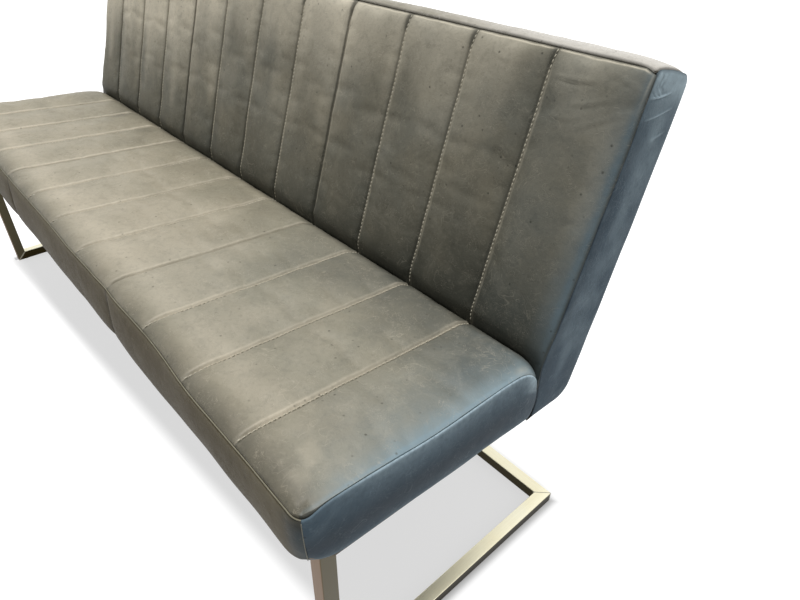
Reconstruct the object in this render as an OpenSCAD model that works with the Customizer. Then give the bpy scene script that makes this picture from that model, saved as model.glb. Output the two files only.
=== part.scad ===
// Armless three-seat sofa. The seat and the back are quilted in channels, and a
// cantilever base of mitred square tube carries them from the front.
// X runs along the sofa, the front faces -Y, and Z is zero at the floor.

/* [Overall] */
// Length of the sofa between its two end seams
length = 1800; // [1500:10:2200]
// Number of channels in each of the three panels
panel_channels = 4; // [3:1:5]

/* [Seat] */
// Height of the seat's front seam above the floor
seat_height = 505; // [440:5:560]
// Depth of the seat from its front seam to the back
seat_depth = 434; // [390:2:500]
// Thickness of the seat from its seams to its underside
seat_thickness = 105; // [98:1:130]
// Slope of the seat down towards the back, in degrees
seat_tilt = 3.5; // [1:0.5:6]
// Rise of the seat's channels above its front seam
seat_crown = 16; // [12:1:22]
// Rise of the seat's two end seams above its front seam
seat_end_rise = 8; // [2:1:10]
// Width of the roll behind the seat's front seam
front_roll = 45; // [30:1:70]

/* [Back] */
// Height of the back's face from the seat to its top seam, along the face
back_height = 443; // [340:1:540]
// Lean of the back's face from upright, in degrees
back_rake = 17.5; // [12:0.5:24]
// Depth of the back at its top seam
back_top_depth = 98; // [88:1:112]
// Depth of the back level with the seat
back_base_depth = 116; // [108:1:136]
// Rise of the back's channels in front of its seams
back_crown = 15; // [10:1:20]
// Rise of the rounded top band above the top seam
top_crown = 13; // [6:1:18]
// Radius of the back's rear top edge
top_round = 12; // [6:1:18]
// Radius of the back's rear bottom edge
base_round = 25; // [12:1:32]

/* [Upholstery] */
// Thickness of the leather bands with their wadding
cover = 3; // [2:0.5:4]
// Thickness of a quilted panel at its seams
quilt_edge = 10; // [7:1:14]
// Depth of the seams between channels
channel_dip = 6; // [3:0.5:8]
// Width of the slope into the crease between seat and back
crease_roll = 34; // [30:1:45]
// Width of the roll at the two ends and at the back's top seam
end_roll = 40; // [25:1:60]
// Bulge of the seat's bands at half their height
band_bow = 3; // [1:0.5:5]
// Diameter of the welt along the front seam
welt_d = 5; // [4:0.5:7]
// Width of the leather turned under the seat
tuck = 33; // [30:1:40]
// Thickness of the back's foam
back_foam_t = 30; // [20:1:36]
// Thickness of the dust cover's cloth
cloth_t = 1; // [0.5:0.1:2]
// Clearance round the soft pieces
soft_gap = 0.3; // [0.2:0.1:0.5]

/* [Wooden frame] */
// Width of the wooden rails
rail_w = 40; // [32:1:46]
// Height of the seat's wooden rails
rail_h = 40; // [30:1:46]
// Leg length of the triangular corner blocks
corner_block = 60; // [40:1:80]
// Thickness of the board behind the back's foam
board_t = 4; // [3:0.5:6]
// Thickness of the webbing
strap_t = 2; // [1.5:0.5:3]
// Width of the webbing
strap_w = 60; // [40:1:70]
// Number of straps that run along the seat
long_strap_count = 3; // [2:1:4]

/* [Steel base] */
// Outside width of the square tube
tube = 25; // [20:1:30]
// Wall of the square tube
tube_wall = 2; // [1.5:0.1:3]
// Outside corner radius of the square tube
tube_round = 1.5; // [0.5:0.1:2.5]
// Distance of the legs behind the seat's front seam
leg_setback = 17; // [8:1:40]
// Depth of the base on the floor
base_depth = 573; // [500:1:640]
// Distance of the base's outer faces inside the end seams
end_inset = 8; // [5:1:12]
// How far the seat rails are let into the underside of the seat
rail_recess = 14; // [10:1:16]
// Distance of the seat rails' rear ends behind the seat's front seam
rail_reach = 488; // [460:1:520]
// Thickness of the plastic end cap's head
cap_t = 3; // [2:0.5:5]
// Length of the plastic end cap's plug
plug_l = 14; // [8:1:20]
// Diameter of a floor glide
glide_d = 18; // [12:1:20]
// Height of a floor glide
glide_h = 2; // [1:0.5:5]

/* [Fasteners] */
// Diameter of the bolts
bolt_d = 8; // [6:0.5:9]
// Clearance between a bolt and its hole, on the diameter
bolt_gap = 0.6; // [0.3:0.1:1]
// Width of a bolt head or nut across its corners
head_d = 14.4; // [12:0.1:16]
// Height of a bolt head or nut
head_h = 5.5; // [4:0.1:8]
// Diameter of a washer
washer_d = 18; // [16:0.5:20]
// Thickness of a washer
washer_t = 1.6; // [1:0.1:2.5]
// Outside diameter of a threaded insert
insert_d = 12; // [11:0.5:14]
// Length of a threaded insert
insert_l = 20; // [14:1:26]
// Number of bolts in each seat rail
rail_bolts = 3; // [2:1:4]
// Number of bolts between the seat and the back
back_bolts_count = 4; // [2:1:6]

/* [Hidden] */
$fn = 48;

LEATHER = "#6b6a60";
BAND_LEATHER = "#56646f";
BRASS = "#d3c79b";
WOOD = "#c9a572";
BOARD = "#9a7a50";
FOAM = "#e6dfb4";
STRAP = "#4a4a48";
CLOTH = "#2b2b2b";
ZINC = "#b4b8bc";
PLASTIC = "#222222";

PANELS = 3;
LEFT = 0;
MIDDLE = 1;
RIGHT = PANELS - 1;

half = length / 2;
panel_w = length / PANELS;
pitch = panel_w / panel_channels;
bow_steps = 8;
round_steps = 6;
channel_steps = 8;
roll_steps = 4;
flat_steps = 5;
puff_power = 2.5;
overrun = tube;

// Relative lean of the back's face to the seat's own upright
lean = back_rake - seat_tilt;
back_taper = (back_top_depth - back_base_depth) / back_height;

// The junction is the line where the back's face meets the seat's seam plane
front_reach = max([for (k = [0:bow_steps])
    band_bow * sin(180 * k / bow_steps) * cos(seat_tilt) + seat_thickness * k / bow_steps * sin(seat_tilt)]);
junction_reach = seat_depth * cos(seat_tilt);
rear_reach = junction_reach + back_height * sin(back_rake) + back_top_depth * cos(back_rake);
front_y = front_reach - (front_reach + rear_reach) / 2;

// Levels in the seat's own frame, measured up from its front seam
seat_bottom = -seat_thickness;
wood_bottom = seat_bottom + cover;
wood_top = wood_bottom + rail_h;
strap_top = wood_top + 2 * strap_t;
rail_top = seat_bottom + rail_recess;
rail_foot = rail_top - tube;
foam_top = -quilt_edge - soft_gap;
inner_half = half - cover;

// Extent of the quilted surfaces
welt_r = welt_d / 2;
panel_front = welt_d + soft_gap;
panel_rear = seat_depth - soft_gap;
panel_end = inner_half - soft_gap;
back_panel_top = back_height - cover - soft_gap;
frame_n = quilt_edge + back_foam_t + board_t;

// Places of the base
base_x = half - end_inset - tube / 2;
leg_front = front_y + leg_setback;
base_rear = leg_front + base_depth;
base_top = glide_h + tube;
hole_d = bolt_d + bolt_gap;
inner_front = cover + rail_w;
inner_rear = seat_depth - rail_w;
post_inner = inner_half - rail_w;

// A point of the side view, from depth v and height w in the seat's frame
function seat_point(v, w) = [
    front_y + v * cos(seat_tilt) + w * sin(seat_tilt),
    seat_height - v * sin(seat_tilt) + w * cos(seat_tilt)
];

// A point of the side view, from depth n and height s in the back's frame
function back_point(n, s) = seat_point(seat_depth, 0) + [
    n * cos(back_rake) + s * sin(back_rake),
    s * cos(back_rake) - n * sin(back_rake)
];

// Height at which the seat-frame level w passes a place y of the side view
function level_z(y, w) = seat_height - (y - front_y) * tan(seat_tilt) + w / cos(seat_tilt);

// Depth of the back at height s of its face
function back_depth(s) = back_base_depth + back_taper * s;

// Corner of the back's rear face and its underside, with both moved in by inset
function base_corner(inset) =
    let (
        rise = seat_bottom + inset + (back_base_depth - inset) * sin(lean),
        s = rise / (cos(lean) - back_taper * sin(lean))
    )
    back_point(back_depth(s) - inset, s);

function unit(p) = p / norm(p);
function turned(p, angle) = [
    p[0] * cos(angle) - p[1] * sin(angle),
    p[0] * sin(angle) + p[1] * cos(angle)
];

// Points of an arc that rounds the corner between two neighbours
function corner_arc(before, corner, after, radius) =
    let (
        a = unit(before - corner),
        b = unit(after - corner),
        half_angle = acos(a * b) / 2,
        centre = corner + unit(a + b) * radius / sin(half_angle),
        start = corner + a * radius / tan(half_angle) - centre,
        turn = (cross(a, b) < 0 ? 1 : -1) * (180 - 2 * half_angle)
    )
    [for (k = [0:round_steps]) centre + turned(start, turn * k / round_steps)];

// Share of the full height at distance d inside an edge that rolls over a width
function rolled(d, roll) = d >= roll ? 1 : sqrt(1 - pow(1 - max(d, 0) / roll, 2));

// Height of the channels at x: full in the middle of a channel, least at its seams
function channel_rise(x, crown) =
    let (t = (x + half) / pitch, off = abs(2 * (t - floor(t)) - 1))
    crown - channel_dip * pow(off, puff_power);

// Share of the full height at distance d inside the crease, where seat and back lean together
function creased(d, roll) = sin(90 * min(max(d, 0) / roll, 1));

function seat_run(v) = rolled(v - panel_front, front_roll) * creased(panel_rear - v, crease_roll);
function seat_relief(x, v) =
    let (rise = channel_rise(x, seat_crown) - seat_end_rise)
    seat_run(v) * (seat_end_rise + rise * rolled(panel_end - abs(x), end_roll));

function back_run(s) = creased(s, crease_roll) * rolled(back_panel_top - s, end_roll);
function back_relief(x, s) =
    back_run(s) * channel_rise(x, back_crown) * rolled(panel_end - abs(x), end_roll);

// Edges of a panel along X: the outer ones meet the end bands
function seam_low(i) = -half + i * panel_w + soft_gap / 2;
function seam_high(i) = -half + (i + 1) * panel_w - soft_gap / 2;
function panel_low(i) = i == LEFT ? -panel_end : seam_low(i);
function panel_high(i) = i == RIGHT ? panel_end : seam_high(i);
function band_low(i) = i == LEFT ? -inner_half : seam_low(i);
function band_high(i) = i == RIGHT ? inner_half : seam_high(i);

// Columns of a panel's surface, closer together beside the channel seams
function panel_columns(i) =
    let (
        low = panel_low(i),
        high = panel_high(i),
        shares = [for (k = [0:channel_steps - 1]) (1 - cos(180 * k / channel_steps)) / 2],
        start = -half + i * panel_w,
        places = [for (c = [0:panel_channels - 1], share = shares) start + (c + share) * pitch]
    )
    concat([low], [for (x = places) if (x > low + soft_gap && x < high - soft_gap) x], [high]);

// Rows of a surface from low to high, closer together in the rolls at its ends
function panel_rows(low, high, low_roll, high_roll) = concat(
    [for (k = [0:roll_steps - 1]) low + low_roll * (1 - cos(90 * k / roll_steps))],
    [for (k = [0:flat_steps]) low + low_roll + (high - low - low_roll - high_roll) * k / flat_steps],
    [for (k = [roll_steps - 1:-1:0]) high - high_roll * (1 - cos(90 * k / roll_steps))]
);
seat_rows = panel_rows(panel_front, panel_rear, front_roll, crease_roll);
back_rows = panel_rows(0, back_panel_top, crease_roll, end_roll);

// Frame of the seat: Y runs back along its slope and Z is square to it
module in_seat() {
    translate([0, front_y, seat_height]) rotate([-seat_tilt, 0, 0]) children();
}

// Frame of the back: Z runs up its face and Y is the depth behind the face
module in_back() {
    translate([0, seat_point(seat_depth, 0)[0], seat_point(seat_depth, 0)[1]])
        rotate([-back_rake, 0, 0]) children();
}

// Extrudes a side view, with Y across the page and Z up it, from x_low to x_high
module side_view(x_low, x_high) {
    translate([x_low, 0, 0]) rotate([90, 0, 90]) linear_extrude(x_high - x_low) children();
}

// Block between two opposite corners
module block(low, high) {
    translate(low) cube(high - low);
}

// Quilted panel with a flat underside and a channelled surface
module quilt(columns, rows, relief) {
    nx = len(columns);
    ny = len(rows);
    top = [for (y = rows, x = columns) [x, y, relief(x, y)]];
    ring = concat(
        [for (i = [0:nx - 1]) i],
        [for (j = [1:ny - 1]) j * nx + nx - 1],
        [for (i = [nx - 2:-1:0]) (ny - 1) * nx + i],
        [for (j = [ny - 2:-1:1]) j * nx]
    );
    nr = len(ring);
    foot = nx * ny;
    middle = [(columns[0] + columns[nx - 1]) / 2, (rows[0] + rows[ny - 1]) / 2, -quilt_edge];
    points = concat(top, [for (k = ring) [top[k][0], top[k][1], -quilt_edge]], [middle]);
    skin = [for (j = [0:ny - 2], i = [0:nx - 2]) let (a = j * nx + i) each
        [[a, a + nx, a + nx + 1], [a, a + nx + 1, a + 1]]];
    walls = [for (k = [0:nr - 1]) let (m = (k + 1) % nr) each
        [[ring[k], ring[m], foot + m], [ring[k], foot + m, foot + k]]];
    underside = [for (k = [0:nr - 1]) [foot + nr, foot + k, foot + (k + 1) % nr]];
    polyhedron(points, concat(skin, walls, underside));
}

// Section of a seat band: bowed outer face, rounded lower edge, leather turned under
module band_section(top) {
    low = seat_bottom + cover;
    outer = [for (k = [0:bow_steps])
        [-band_bow * sin(180 * k / bow_steps), top + (low - top) * k / bow_steps]];
    edge = [for (k = [1:round_steps])
        [cover * (1 - cos(90 * k / round_steps)), low - cover * sin(90 * k / round_steps)]];
    polygon(concat(outer, edge, [[tuck, seat_bottom], [tuck, low], [cover, low], [cover, top]]));
}

// Section of the square tube
module tube_section() {
    flat = tube - 2 * tube_round;
    difference() {
        union() {
            square([tube, flat], center = true);
            square([flat, tube], center = true);
            for (x = [-1, 1], y = [-1, 1])
                translate([x * flat / 2, y * flat / 2]) circle(tube_round);
        }
        square(tube - 2 * tube_wall, center = true);
    }
}

// Side view of the whole back, with its rear, top and underside moved in by inset
module back_outline(inset) {
    crown_steps = 10;
    depth = back_top_depth - inset;
    rear_top = back_point(depth, back_height - inset);
    corner = base_corner(inset);
    crown = [for (k = [0:crown_steps - 2])
        let (share = k / crown_steps, rise = top_crown * (1 - pow(abs(2 * share - 1), puff_power)))
        back_point(depth * share, back_height - inset + rise)];
    polygon(concat(
        [seat_point(seat_depth, seat_bottom + inset), seat_point(seat_depth, 0)],
        crown,
        corner_arc(crown[len(crown) - 1], rear_top, corner, max(top_round - inset, cover)),
        corner_arc(rear_top, corner, seat_point(seat_depth, seat_bottom + inset), base_round - inset)
    ));
}

// Part of the side view between two depths and two heights of the back
module back_zone(n_low, n_high, s_low, s_high) {
    polygon([
        back_point(n_low, s_low), back_point(n_low, s_high),
        back_point(n_high, s_high), back_point(n_high, s_low)
    ]);
}

// Part of the side view behind the seat's rear plane and above a level
module behind_seat(gap, level) {
    reach = back_base_depth + back_height;
    polygon([
        seat_point(seat_depth + gap, level), seat_point(seat_depth + gap, reach),
        seat_point(seat_depth + reach, reach), seat_point(seat_depth + reach, level)
    ]);
}

// Room in the underside of the seat and the back for the seat rails and the tops of the legs
module rail_grooves() {
    reach = tube / 2 + soft_gap;
    rear = rail_reach + cap_t + soft_gap;
    for (side = [-1, 1])
        side_view(side * base_x - reach, side * base_x + reach) polygon([
            [leg_front - soft_gap, level_z(leg_front, rail_foot)],
            [leg_front - soft_gap, level_z(leg_front - soft_gap, rail_top)],
            seat_point(rear, rail_top),
            seat_point(rear, rail_foot)
        ]);
}

// Places of the bolts
function rail_bolt_v(k) = inner_front + (inner_rear - inner_front) * (k + 0.5) / rail_bolts;
function back_bolt_x(k) = -half + length * (k + 0.5) / back_bolts_count;
back_bolt_w = wood_bottom + rail_h / 2;

module at_rail_bolts(side, level) {
    for (k = [0:rail_bolts - 1])
        in_seat() translate([side * base_x, rail_bolt_v(k), level]) children();
}

module at_back_bolts(v) {
    for (k = [0:back_bolts_count - 1])
        in_seat() translate([back_bolt_x(k), v, back_bolt_w]) rotate([-90, 0, 0]) children();
}

// Side views of the base's mitred tubes
function leg_points() = [
    [leg_front, glide_h],
    [leg_front + tube, base_top],
    [leg_front + tube, level_z(leg_front + tube, rail_foot)],
    [leg_front, level_z(leg_front, rail_top)]
];
function runner_points() = [
    [leg_front, glide_h],
    [leg_front + tube, base_top],
    [base_rear, base_top],
    [base_rear, glide_h]
];
function seat_rail_points() = [
    [leg_front, level_z(leg_front, rail_top)],
    [leg_front + tube, level_z(leg_front + tube, rail_foot)],
    seat_point(rail_reach, rail_foot),
    seat_point(rail_reach, rail_top)
];

module leg(side) {
    color(BRASS) intersection() {
        translate([side * base_x, leg_front + tube / 2, 0]) linear_extrude(seat_height) tube_section();
        side_view(side * base_x - tube, side * base_x + tube) polygon(leg_points());
    }
}

module runner(side) {
    outer = side * (base_x + tube / 2);
    inner = side * (base_x - tube / 2);
    color(BRASS) intersection() {
        translate([side * base_x, leg_front, glide_h + tube / 2])
            rotate([-90, 0, 0]) linear_extrude(base_depth) tube_section();
        side_view(side * base_x - tube, side * base_x + tube) polygon(runner_points());
        linear_extrude(base_top + overrun) polygon([
            [outer, leg_front - overrun], [outer, base_rear],
            [inner, base_rear - tube], [inner, leg_front - overrun]
        ]);
    }
}

module rear_crossbar() {
    outer = base_x + tube / 2;
    inner = base_x - tube / 2;
    color(BRASS) intersection() {
        translate([-outer, base_rear - tube / 2, glide_h + tube / 2])
            rotate([90, 0, 90]) linear_extrude(2 * outer) tube_section();
        linear_extrude(base_top + overrun) polygon([
            [-outer, base_rear], [outer, base_rear], [inner, base_rear - tube], [-inner, base_rear - tube]
        ]);
    }
}

module seat_rail(side) {
    color(BRASS) difference() {
        intersection() {
            in_seat() translate([side * base_x, 0, rail_top - tube / 2])
                rotate([-90, 0, 0]) linear_extrude(rail_reach) tube_section();
            side_view(side * base_x - tube, side * base_x + tube) polygon(seat_rail_points());
        }
        at_rail_bolts(side, rail_foot - overrun) cylinder(h = tube + 2 * overrun, d = hole_d);
    }
}

module rail_end_caps() {
    plug = tube - 2 * tube_wall - 2 * soft_gap;
    color(PLASTIC) for (side = [-1, 1])
        in_seat() translate([side * base_x, rail_reach, rail_top - tube / 2]) rotate([-90, 0, 0]) {
            linear_extrude(cap_t) square(tube - 2 * soft_gap, center = true);
            translate([0, 0, -plug_l]) linear_extrude(plug_l + cap_t) square(plug, center = true);
        }
}

module floor_glides() {
    color(PLASTIC) {
        for (side = [-1, 1], y = [leg_front + tube, base_rear - tube])
            translate([side * base_x, y, 0]) cylinder(h = glide_h, d = glide_d);
        for (side = [-1, 1])
            translate([side * panel_w / 2, base_rear - tube / 2, 0]) cylinder(h = glide_h, d = glide_d);
    }
}

module frame_bolts() {
    washer_level = rail_foot - washer_t;
    color(ZINC) for (side = [-1, 1]) {
        at_rail_bolts(side, washer_level - head_h) cylinder(h = head_h, d = head_d, $fn = 6);
        at_rail_bolts(side, washer_level - head_h)
            cylinder(h = head_h + washer_t + tube + insert_l, d = bolt_d);
    }
}

module frame_washers() {
    color(ZINC) for (side = [-1, 1])
        at_rail_bolts(side, rail_foot - washer_t) washer();
}

module washer() {
    difference() {
        cylinder(h = washer_t, d = washer_d);
        translate([0, 0, -overrun]) cylinder(h = washer_t + 2 * overrun, d = hole_d);
    }
}

module insert_nuts() {
    color(ZINC) for (side = [-1, 1])
        at_rail_bolts(side, rail_top) difference() {
            cylinder(h = insert_l, d = insert_d);
            translate([0, 0, -overrun]) cylinder(h = insert_l + 2 * overrun, d = hole_d);
        }
}

module seat_front_rail() {
    color(WOOD) difference() {
        in_seat() block([-inner_half, cover, wood_bottom], [inner_half, inner_front, wood_top]);
        rail_grooves();
    }
}

module seat_rear_rail() {
    color(WOOD) difference() {
        in_seat() block([-inner_half, inner_rear, wood_bottom], [inner_half, seat_depth, wood_top]);
        at_back_bolts(inner_rear - overrun) cylinder(h = rail_w + 2 * overrun, d = hole_d);
        rail_grooves();
    }
}

module seat_side_rail(side) {
    low = side > 0 ? post_inner : -inner_half;
    color(WOOD) difference() {
        in_seat() block([low, inner_front, wood_bottom], [low + rail_w, inner_rear, wood_top]);
        rail_grooves();
        at_rail_bolts(side, rail_top - overrun) cylinder(h = insert_l + overrun, d = insert_d);
        at_rail_bolts(side, rail_top) cylinder(h = insert_l + bolt_d / 2, d = hole_d);
    }
}

module seat_cross_rails() {
    color(WOOD) for (side = [-1, 1])
        in_seat() translate([side * panel_w / 2, 0, 0])
            block([-rail_w / 2, inner_front, wood_bottom], [rail_w / 2, inner_rear, wood_top]);
}

module seat_corner_blocks() {
    color(WOOD) for (side = [-1, 1], end = [-1, 1]) {
        v = end < 0 ? inner_front : inner_rear;
        in_seat() translate([side * post_inner, v, wood_bottom]) linear_extrude(rail_h)
            polygon([[0, 0], [-side * corner_block, 0], [0, -end * corner_block]]);
    }
}

module webbing_cross_straps() {
    straps = PANELS * panel_channels;
    color(STRAP) for (k = [0:straps - 1])
        in_seat() translate([-half + (k + 0.5) * pitch, 0, 0])
            block([-strap_w / 2, cover, wood_top], [strap_w / 2, seat_depth, wood_top + strap_t]);
}

module webbing_long_straps() {
    step = (inner_rear - inner_front) / long_strap_count;
    color(STRAP) for (k = [0:long_strap_count - 1])
        in_seat() translate([0, inner_front + (k + 0.5) * step, 0])
            block([-inner_half, -strap_w / 2, wood_top + strap_t], [inner_half, strap_w / 2, strap_top]);
}

module seat_foam() {
    color(FOAM) in_seat() block(
        [-inner_half, cover, strap_top],
        [inner_half, seat_depth - soft_gap, foam_top]
    );
}

module seat_panel(i) {
    color(LEATHER) in_seat()
        quilt(panel_columns(i), seat_rows, function(x, v) seat_relief(x, v));
}

module front_band(i) {
    low = seam_low(i);
    high = seam_high(i);
    far = half + band_bow;
    left_cut = i == LEFT ? [[-inner_half, cover + tuck], [-inner_half, cover], [-far, -band_bow]]
        : [[low, cover + tuck], [low, -band_bow]];
    right_cut = i == RIGHT ? [[far, -band_bow], [inner_half, cover], [inner_half, cover + tuck]]
        : [[high, -band_bow], [high, cover + tuck]];
    color(BAND_LEATHER) difference() {
        in_seat() intersection() {
            side_view(-far, far) band_section(-welt_r - soft_gap);
            translate([0, 0, seat_bottom]) linear_extrude(seat_thickness)
                polygon(concat(left_cut, right_cut));
        }
        rail_grooves();
    }
}

// The end band is as tall as the seat's end seam, which rises with the channels.
// Below, it is turned under as far as the seat rail.
module seat_side_band(side) {
    far = half + band_bow;
    turned_to = half - end_inset + soft_gap;
    seam = [for (v = seat_rows) [v, seat_end_rise * seat_run(v)]];
    color(BAND_LEATHER) in_seat() intersection() {
        scale([side, 1, 1]) translate([half, seat_depth, 0]) rotate([90, 0, 0])
            linear_extrude(seat_depth + band_bow) scale([-1, 1]) band_section(seat_end_rise);
        side_view(-far, far) polygon(concat(
            [[-band_bow, seat_bottom], [-band_bow, 0], [0, 0]],
            seam,
            [[seat_depth, 0], [seat_depth, seat_bottom]]
        ));
        translate([0, 0, seat_bottom]) linear_extrude(seat_thickness + seat_end_rise) polygon([
            [side * far, -band_bow], [side * inner_half, cover], [side * inner_half, cover + tuck],
            [side * turned_to, cover + tuck], [side * turned_to, seat_depth],
            [side * far, seat_depth]
        ]);
    }
}

module front_welt() {
    color(LEATHER) in_seat() translate([-inner_half, welt_r, 0])
        rotate([0, 90, 0]) cylinder(h = 2 * inner_half, d = welt_d);
}

module dust_cover() {
    x_high = base_x - tube / 2 - soft_gap;
    color(CLOTH) in_seat() block(
        [-x_high, tuck + soft_gap, wood_bottom - cloth_t],
        [x_high, seat_depth - soft_gap, wood_bottom]
    );
}

module back_post(side) {
    low = side > 0 ? post_inner : -inner_half;
    color(WOOD) difference() {
        side_view(low, low + rail_w) intersection() {
            back_outline(cover);
            behind_seat(0, wood_bottom);
            union() {
                back_zone(frame_n, 2 * back_base_depth, -back_height, back_height - cover);
                polygon([
                    seat_point(seat_depth, wood_bottom), seat_point(seat_depth, wood_top),
                    seat_point(seat_depth + back_base_depth, wood_top),
                    seat_point(seat_depth + back_base_depth, wood_bottom)
                ]);
            }
        }
        rail_grooves();
    }
}

module back_top_rail() {
    color(WOOD) side_view(-post_inner, post_inner) intersection() {
        back_outline(cover);
        back_zone(frame_n, 2 * back_base_depth, back_height - cover - rail_h, back_height - cover);
    }
}

module back_bottom_rail() {
    color(WOOD) difference() {
        in_seat() block(
            [-post_inner, seat_depth, wood_bottom + soft_gap],
            [post_inner, seat_depth + rail_w, wood_top]
        );
        at_back_bolts(seat_depth - overrun) cylinder(h = rail_w + 2 * overrun, d = hole_d);
    }
}

module back_uprights() {
    color(WOOD) for (side = [-1, 1])
        side_view(side * panel_w / 2 - rail_w / 2, side * panel_w / 2 + rail_w / 2) intersection() {
            back_outline(cover);
            behind_seat(0, wood_top);
            back_zone(frame_n, 2 * back_base_depth, -back_height, back_height - cover - rail_h);
        }
}

module back_board() {
    color(BOARD) side_view(-inner_half, inner_half) intersection() {
        behind_seat(soft_gap, wood_top);
        back_zone(frame_n - board_t, frame_n, -back_height, back_height - cover);
    }
}

module back_foam() {
    color(FOAM) side_view(-inner_half, inner_half) intersection() {
        behind_seat(soft_gap, wood_top);
        back_zone(quilt_edge + soft_gap, frame_n - board_t, -back_height, back_panel_top);
    }
}

module back_panel(i) {
    color(LEATHER) in_back() rotate([90, 0, 0])
        quilt(panel_columns(i), back_rows, function(x, s) back_relief(x, s));
}

module top_band(i) {
    color(LEATHER) side_view(band_low(i), band_high(i)) intersection() {
        back_outline(0);
        back_zone(0, 2 * back_base_depth, back_height - cover, 2 * back_height);
    }
}

module back_side_band(side) {
    color(BAND_LEATHER) side_view(side > 0 ? inner_half : -half, side > 0 ? half : -inner_half)
        back_outline(0);
}

module rear_cover(i) {
    color(LEATHER) difference() {
        side_view(band_low(i), band_high(i)) difference() {
            intersection() {
                back_outline(0);
                back_zone(quilt_edge, 2 * back_base_depth, -2 * back_height, back_height - cover);
            }
            back_outline(cover);
        }
        rail_grooves();
    }
}

module back_bolts() {
    start = inner_rear - washer_t - head_h;
    color(ZINC) {
        at_back_bolts(start) cylinder(h = head_h, d = head_d, $fn = 6);
        at_back_bolts(start) cylinder(h = 2 * (head_h + washer_t + rail_w) + bolt_d / 2, d = bolt_d);
    }
}

module back_washers() {
    color(ZINC) {
        at_back_bolts(inner_rear - washer_t) washer();
        at_back_bolts(seat_depth + rail_w) washer();
    }
}

module back_nuts() {
    color(ZINC) at_back_bolts(seat_depth + rail_w + washer_t) difference() {
        cylinder(h = head_h, d = head_d, $fn = 6);
        translate([0, 0, -overrun]) cylinder(h = head_h + 2 * overrun, d = hole_d);
    }
}

leg(1);  // leg_right
leg(-1);  // leg_left
runner(1);  // runner_right
runner(-1);  // runner_left
rear_crossbar();
seat_rail(1);  // seat_rail_right
seat_rail(-1);  // seat_rail_left
rail_end_caps();
floor_glides();
frame_bolts();
frame_washers();
insert_nuts();
seat_front_rail();
seat_rear_rail();
seat_side_rail(1);  // seat_side_rail_right
seat_side_rail(-1);  // seat_side_rail_left
seat_cross_rails();
seat_corner_blocks();
webbing_cross_straps();
webbing_long_straps();
seat_foam();
seat_panel(RIGHT);  // seat_panel_right
seat_panel(MIDDLE);  // seat_panel_middle
seat_panel(LEFT);  // seat_panel_left
front_band(RIGHT);  // front_band_right
front_band(MIDDLE);  // front_band_middle
front_band(LEFT);  // front_band_left
seat_side_band(1);  // seat_side_band_right
seat_side_band(-1);  // seat_side_band_left
front_welt();
dust_cover();
back_post(1);  // back_post_right
back_post(-1);  // back_post_left
back_top_rail();
back_bottom_rail();
back_uprights();
back_board();
back_foam();
back_panel(RIGHT);  // back_panel_right
back_panel(MIDDLE);  // back_panel_middle
back_panel(LEFT);  // back_panel_left
top_band(RIGHT);  // top_band_right
top_band(MIDDLE);  // top_band_middle
top_band(LEFT);  // top_band_left
back_side_band(1);  // back_side_band_right
back_side_band(-1);  // back_side_band_left
rear_cover(RIGHT);  // rear_cover_right
rear_cover(MIDDLE);  // rear_cover_middle
rear_cover(LEFT);  // rear_cover_left
back_bolts();
back_washers();
back_nuts();
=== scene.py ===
# %% [markdown]
# # An armless sofa in quilted leather on a brass-coloured tube base
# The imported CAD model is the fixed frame. Its tubes stay and get a metal finish. The leather,
# which the CAD gives as plain solids, is made again here as soft pieces in the same places.

# %% Load the frame and keep its box
import math

import bpy
import numpy as np
from mathutils import Matrix, Vector


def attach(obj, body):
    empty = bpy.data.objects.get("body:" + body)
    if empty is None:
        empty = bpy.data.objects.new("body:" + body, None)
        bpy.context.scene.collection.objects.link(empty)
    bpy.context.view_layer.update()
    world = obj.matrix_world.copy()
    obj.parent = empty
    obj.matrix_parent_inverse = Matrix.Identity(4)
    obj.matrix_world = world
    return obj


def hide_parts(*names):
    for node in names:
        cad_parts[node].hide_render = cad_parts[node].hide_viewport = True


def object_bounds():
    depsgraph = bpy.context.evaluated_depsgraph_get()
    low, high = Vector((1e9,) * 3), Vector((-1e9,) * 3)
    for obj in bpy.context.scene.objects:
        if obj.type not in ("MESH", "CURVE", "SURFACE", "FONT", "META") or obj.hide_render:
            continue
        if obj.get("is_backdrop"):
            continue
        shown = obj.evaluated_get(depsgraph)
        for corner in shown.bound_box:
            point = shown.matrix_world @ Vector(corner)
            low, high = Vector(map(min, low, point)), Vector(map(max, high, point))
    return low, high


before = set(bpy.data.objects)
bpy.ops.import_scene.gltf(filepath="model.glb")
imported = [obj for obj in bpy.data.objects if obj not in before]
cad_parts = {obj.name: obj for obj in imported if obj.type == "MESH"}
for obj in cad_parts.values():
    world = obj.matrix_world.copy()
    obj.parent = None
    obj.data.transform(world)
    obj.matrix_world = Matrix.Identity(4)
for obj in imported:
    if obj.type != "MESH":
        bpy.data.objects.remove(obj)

cad_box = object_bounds()
print("CAD nodes:", len(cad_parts))
print("box in metres:", [tuple(round(c, 4) for c in p) for p in cad_box])

# %% [markdown]
# ## The sizes that the soft pieces share with the CAD
# Every leather piece is drawn in one of two tilted frames. On the seat, v runs back along the
# slope and w stands square to it. On the back, s runs up the face and n is the depth behind it.
# Working in millimetres in these frames keeps the shapes simple. The last step turns them into
# metres in the frame of the CAD model.

# %% Sizes in millimetres, and the two frames
HALF, PITCH, PANEL = 900.0, 150.0, 600.0
SEAT_H, FRONT_Y, SEAT_DEPTH, SEAT_T = 505.0, -326.47, 434.0, 105.0
TILT, RAKE = math.radians(3.5), math.radians(17.5)
BACK_H, TOP_DEPTH, BASE_DEPTH, TOP_CROWN = 443.0, 98.0, 116.0, 13.0
END_X = 896.7
SIDES = {"left": 0, "middle": 1, "right": 2}
ENDS = {"right": 1, "left": -1}


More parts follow.
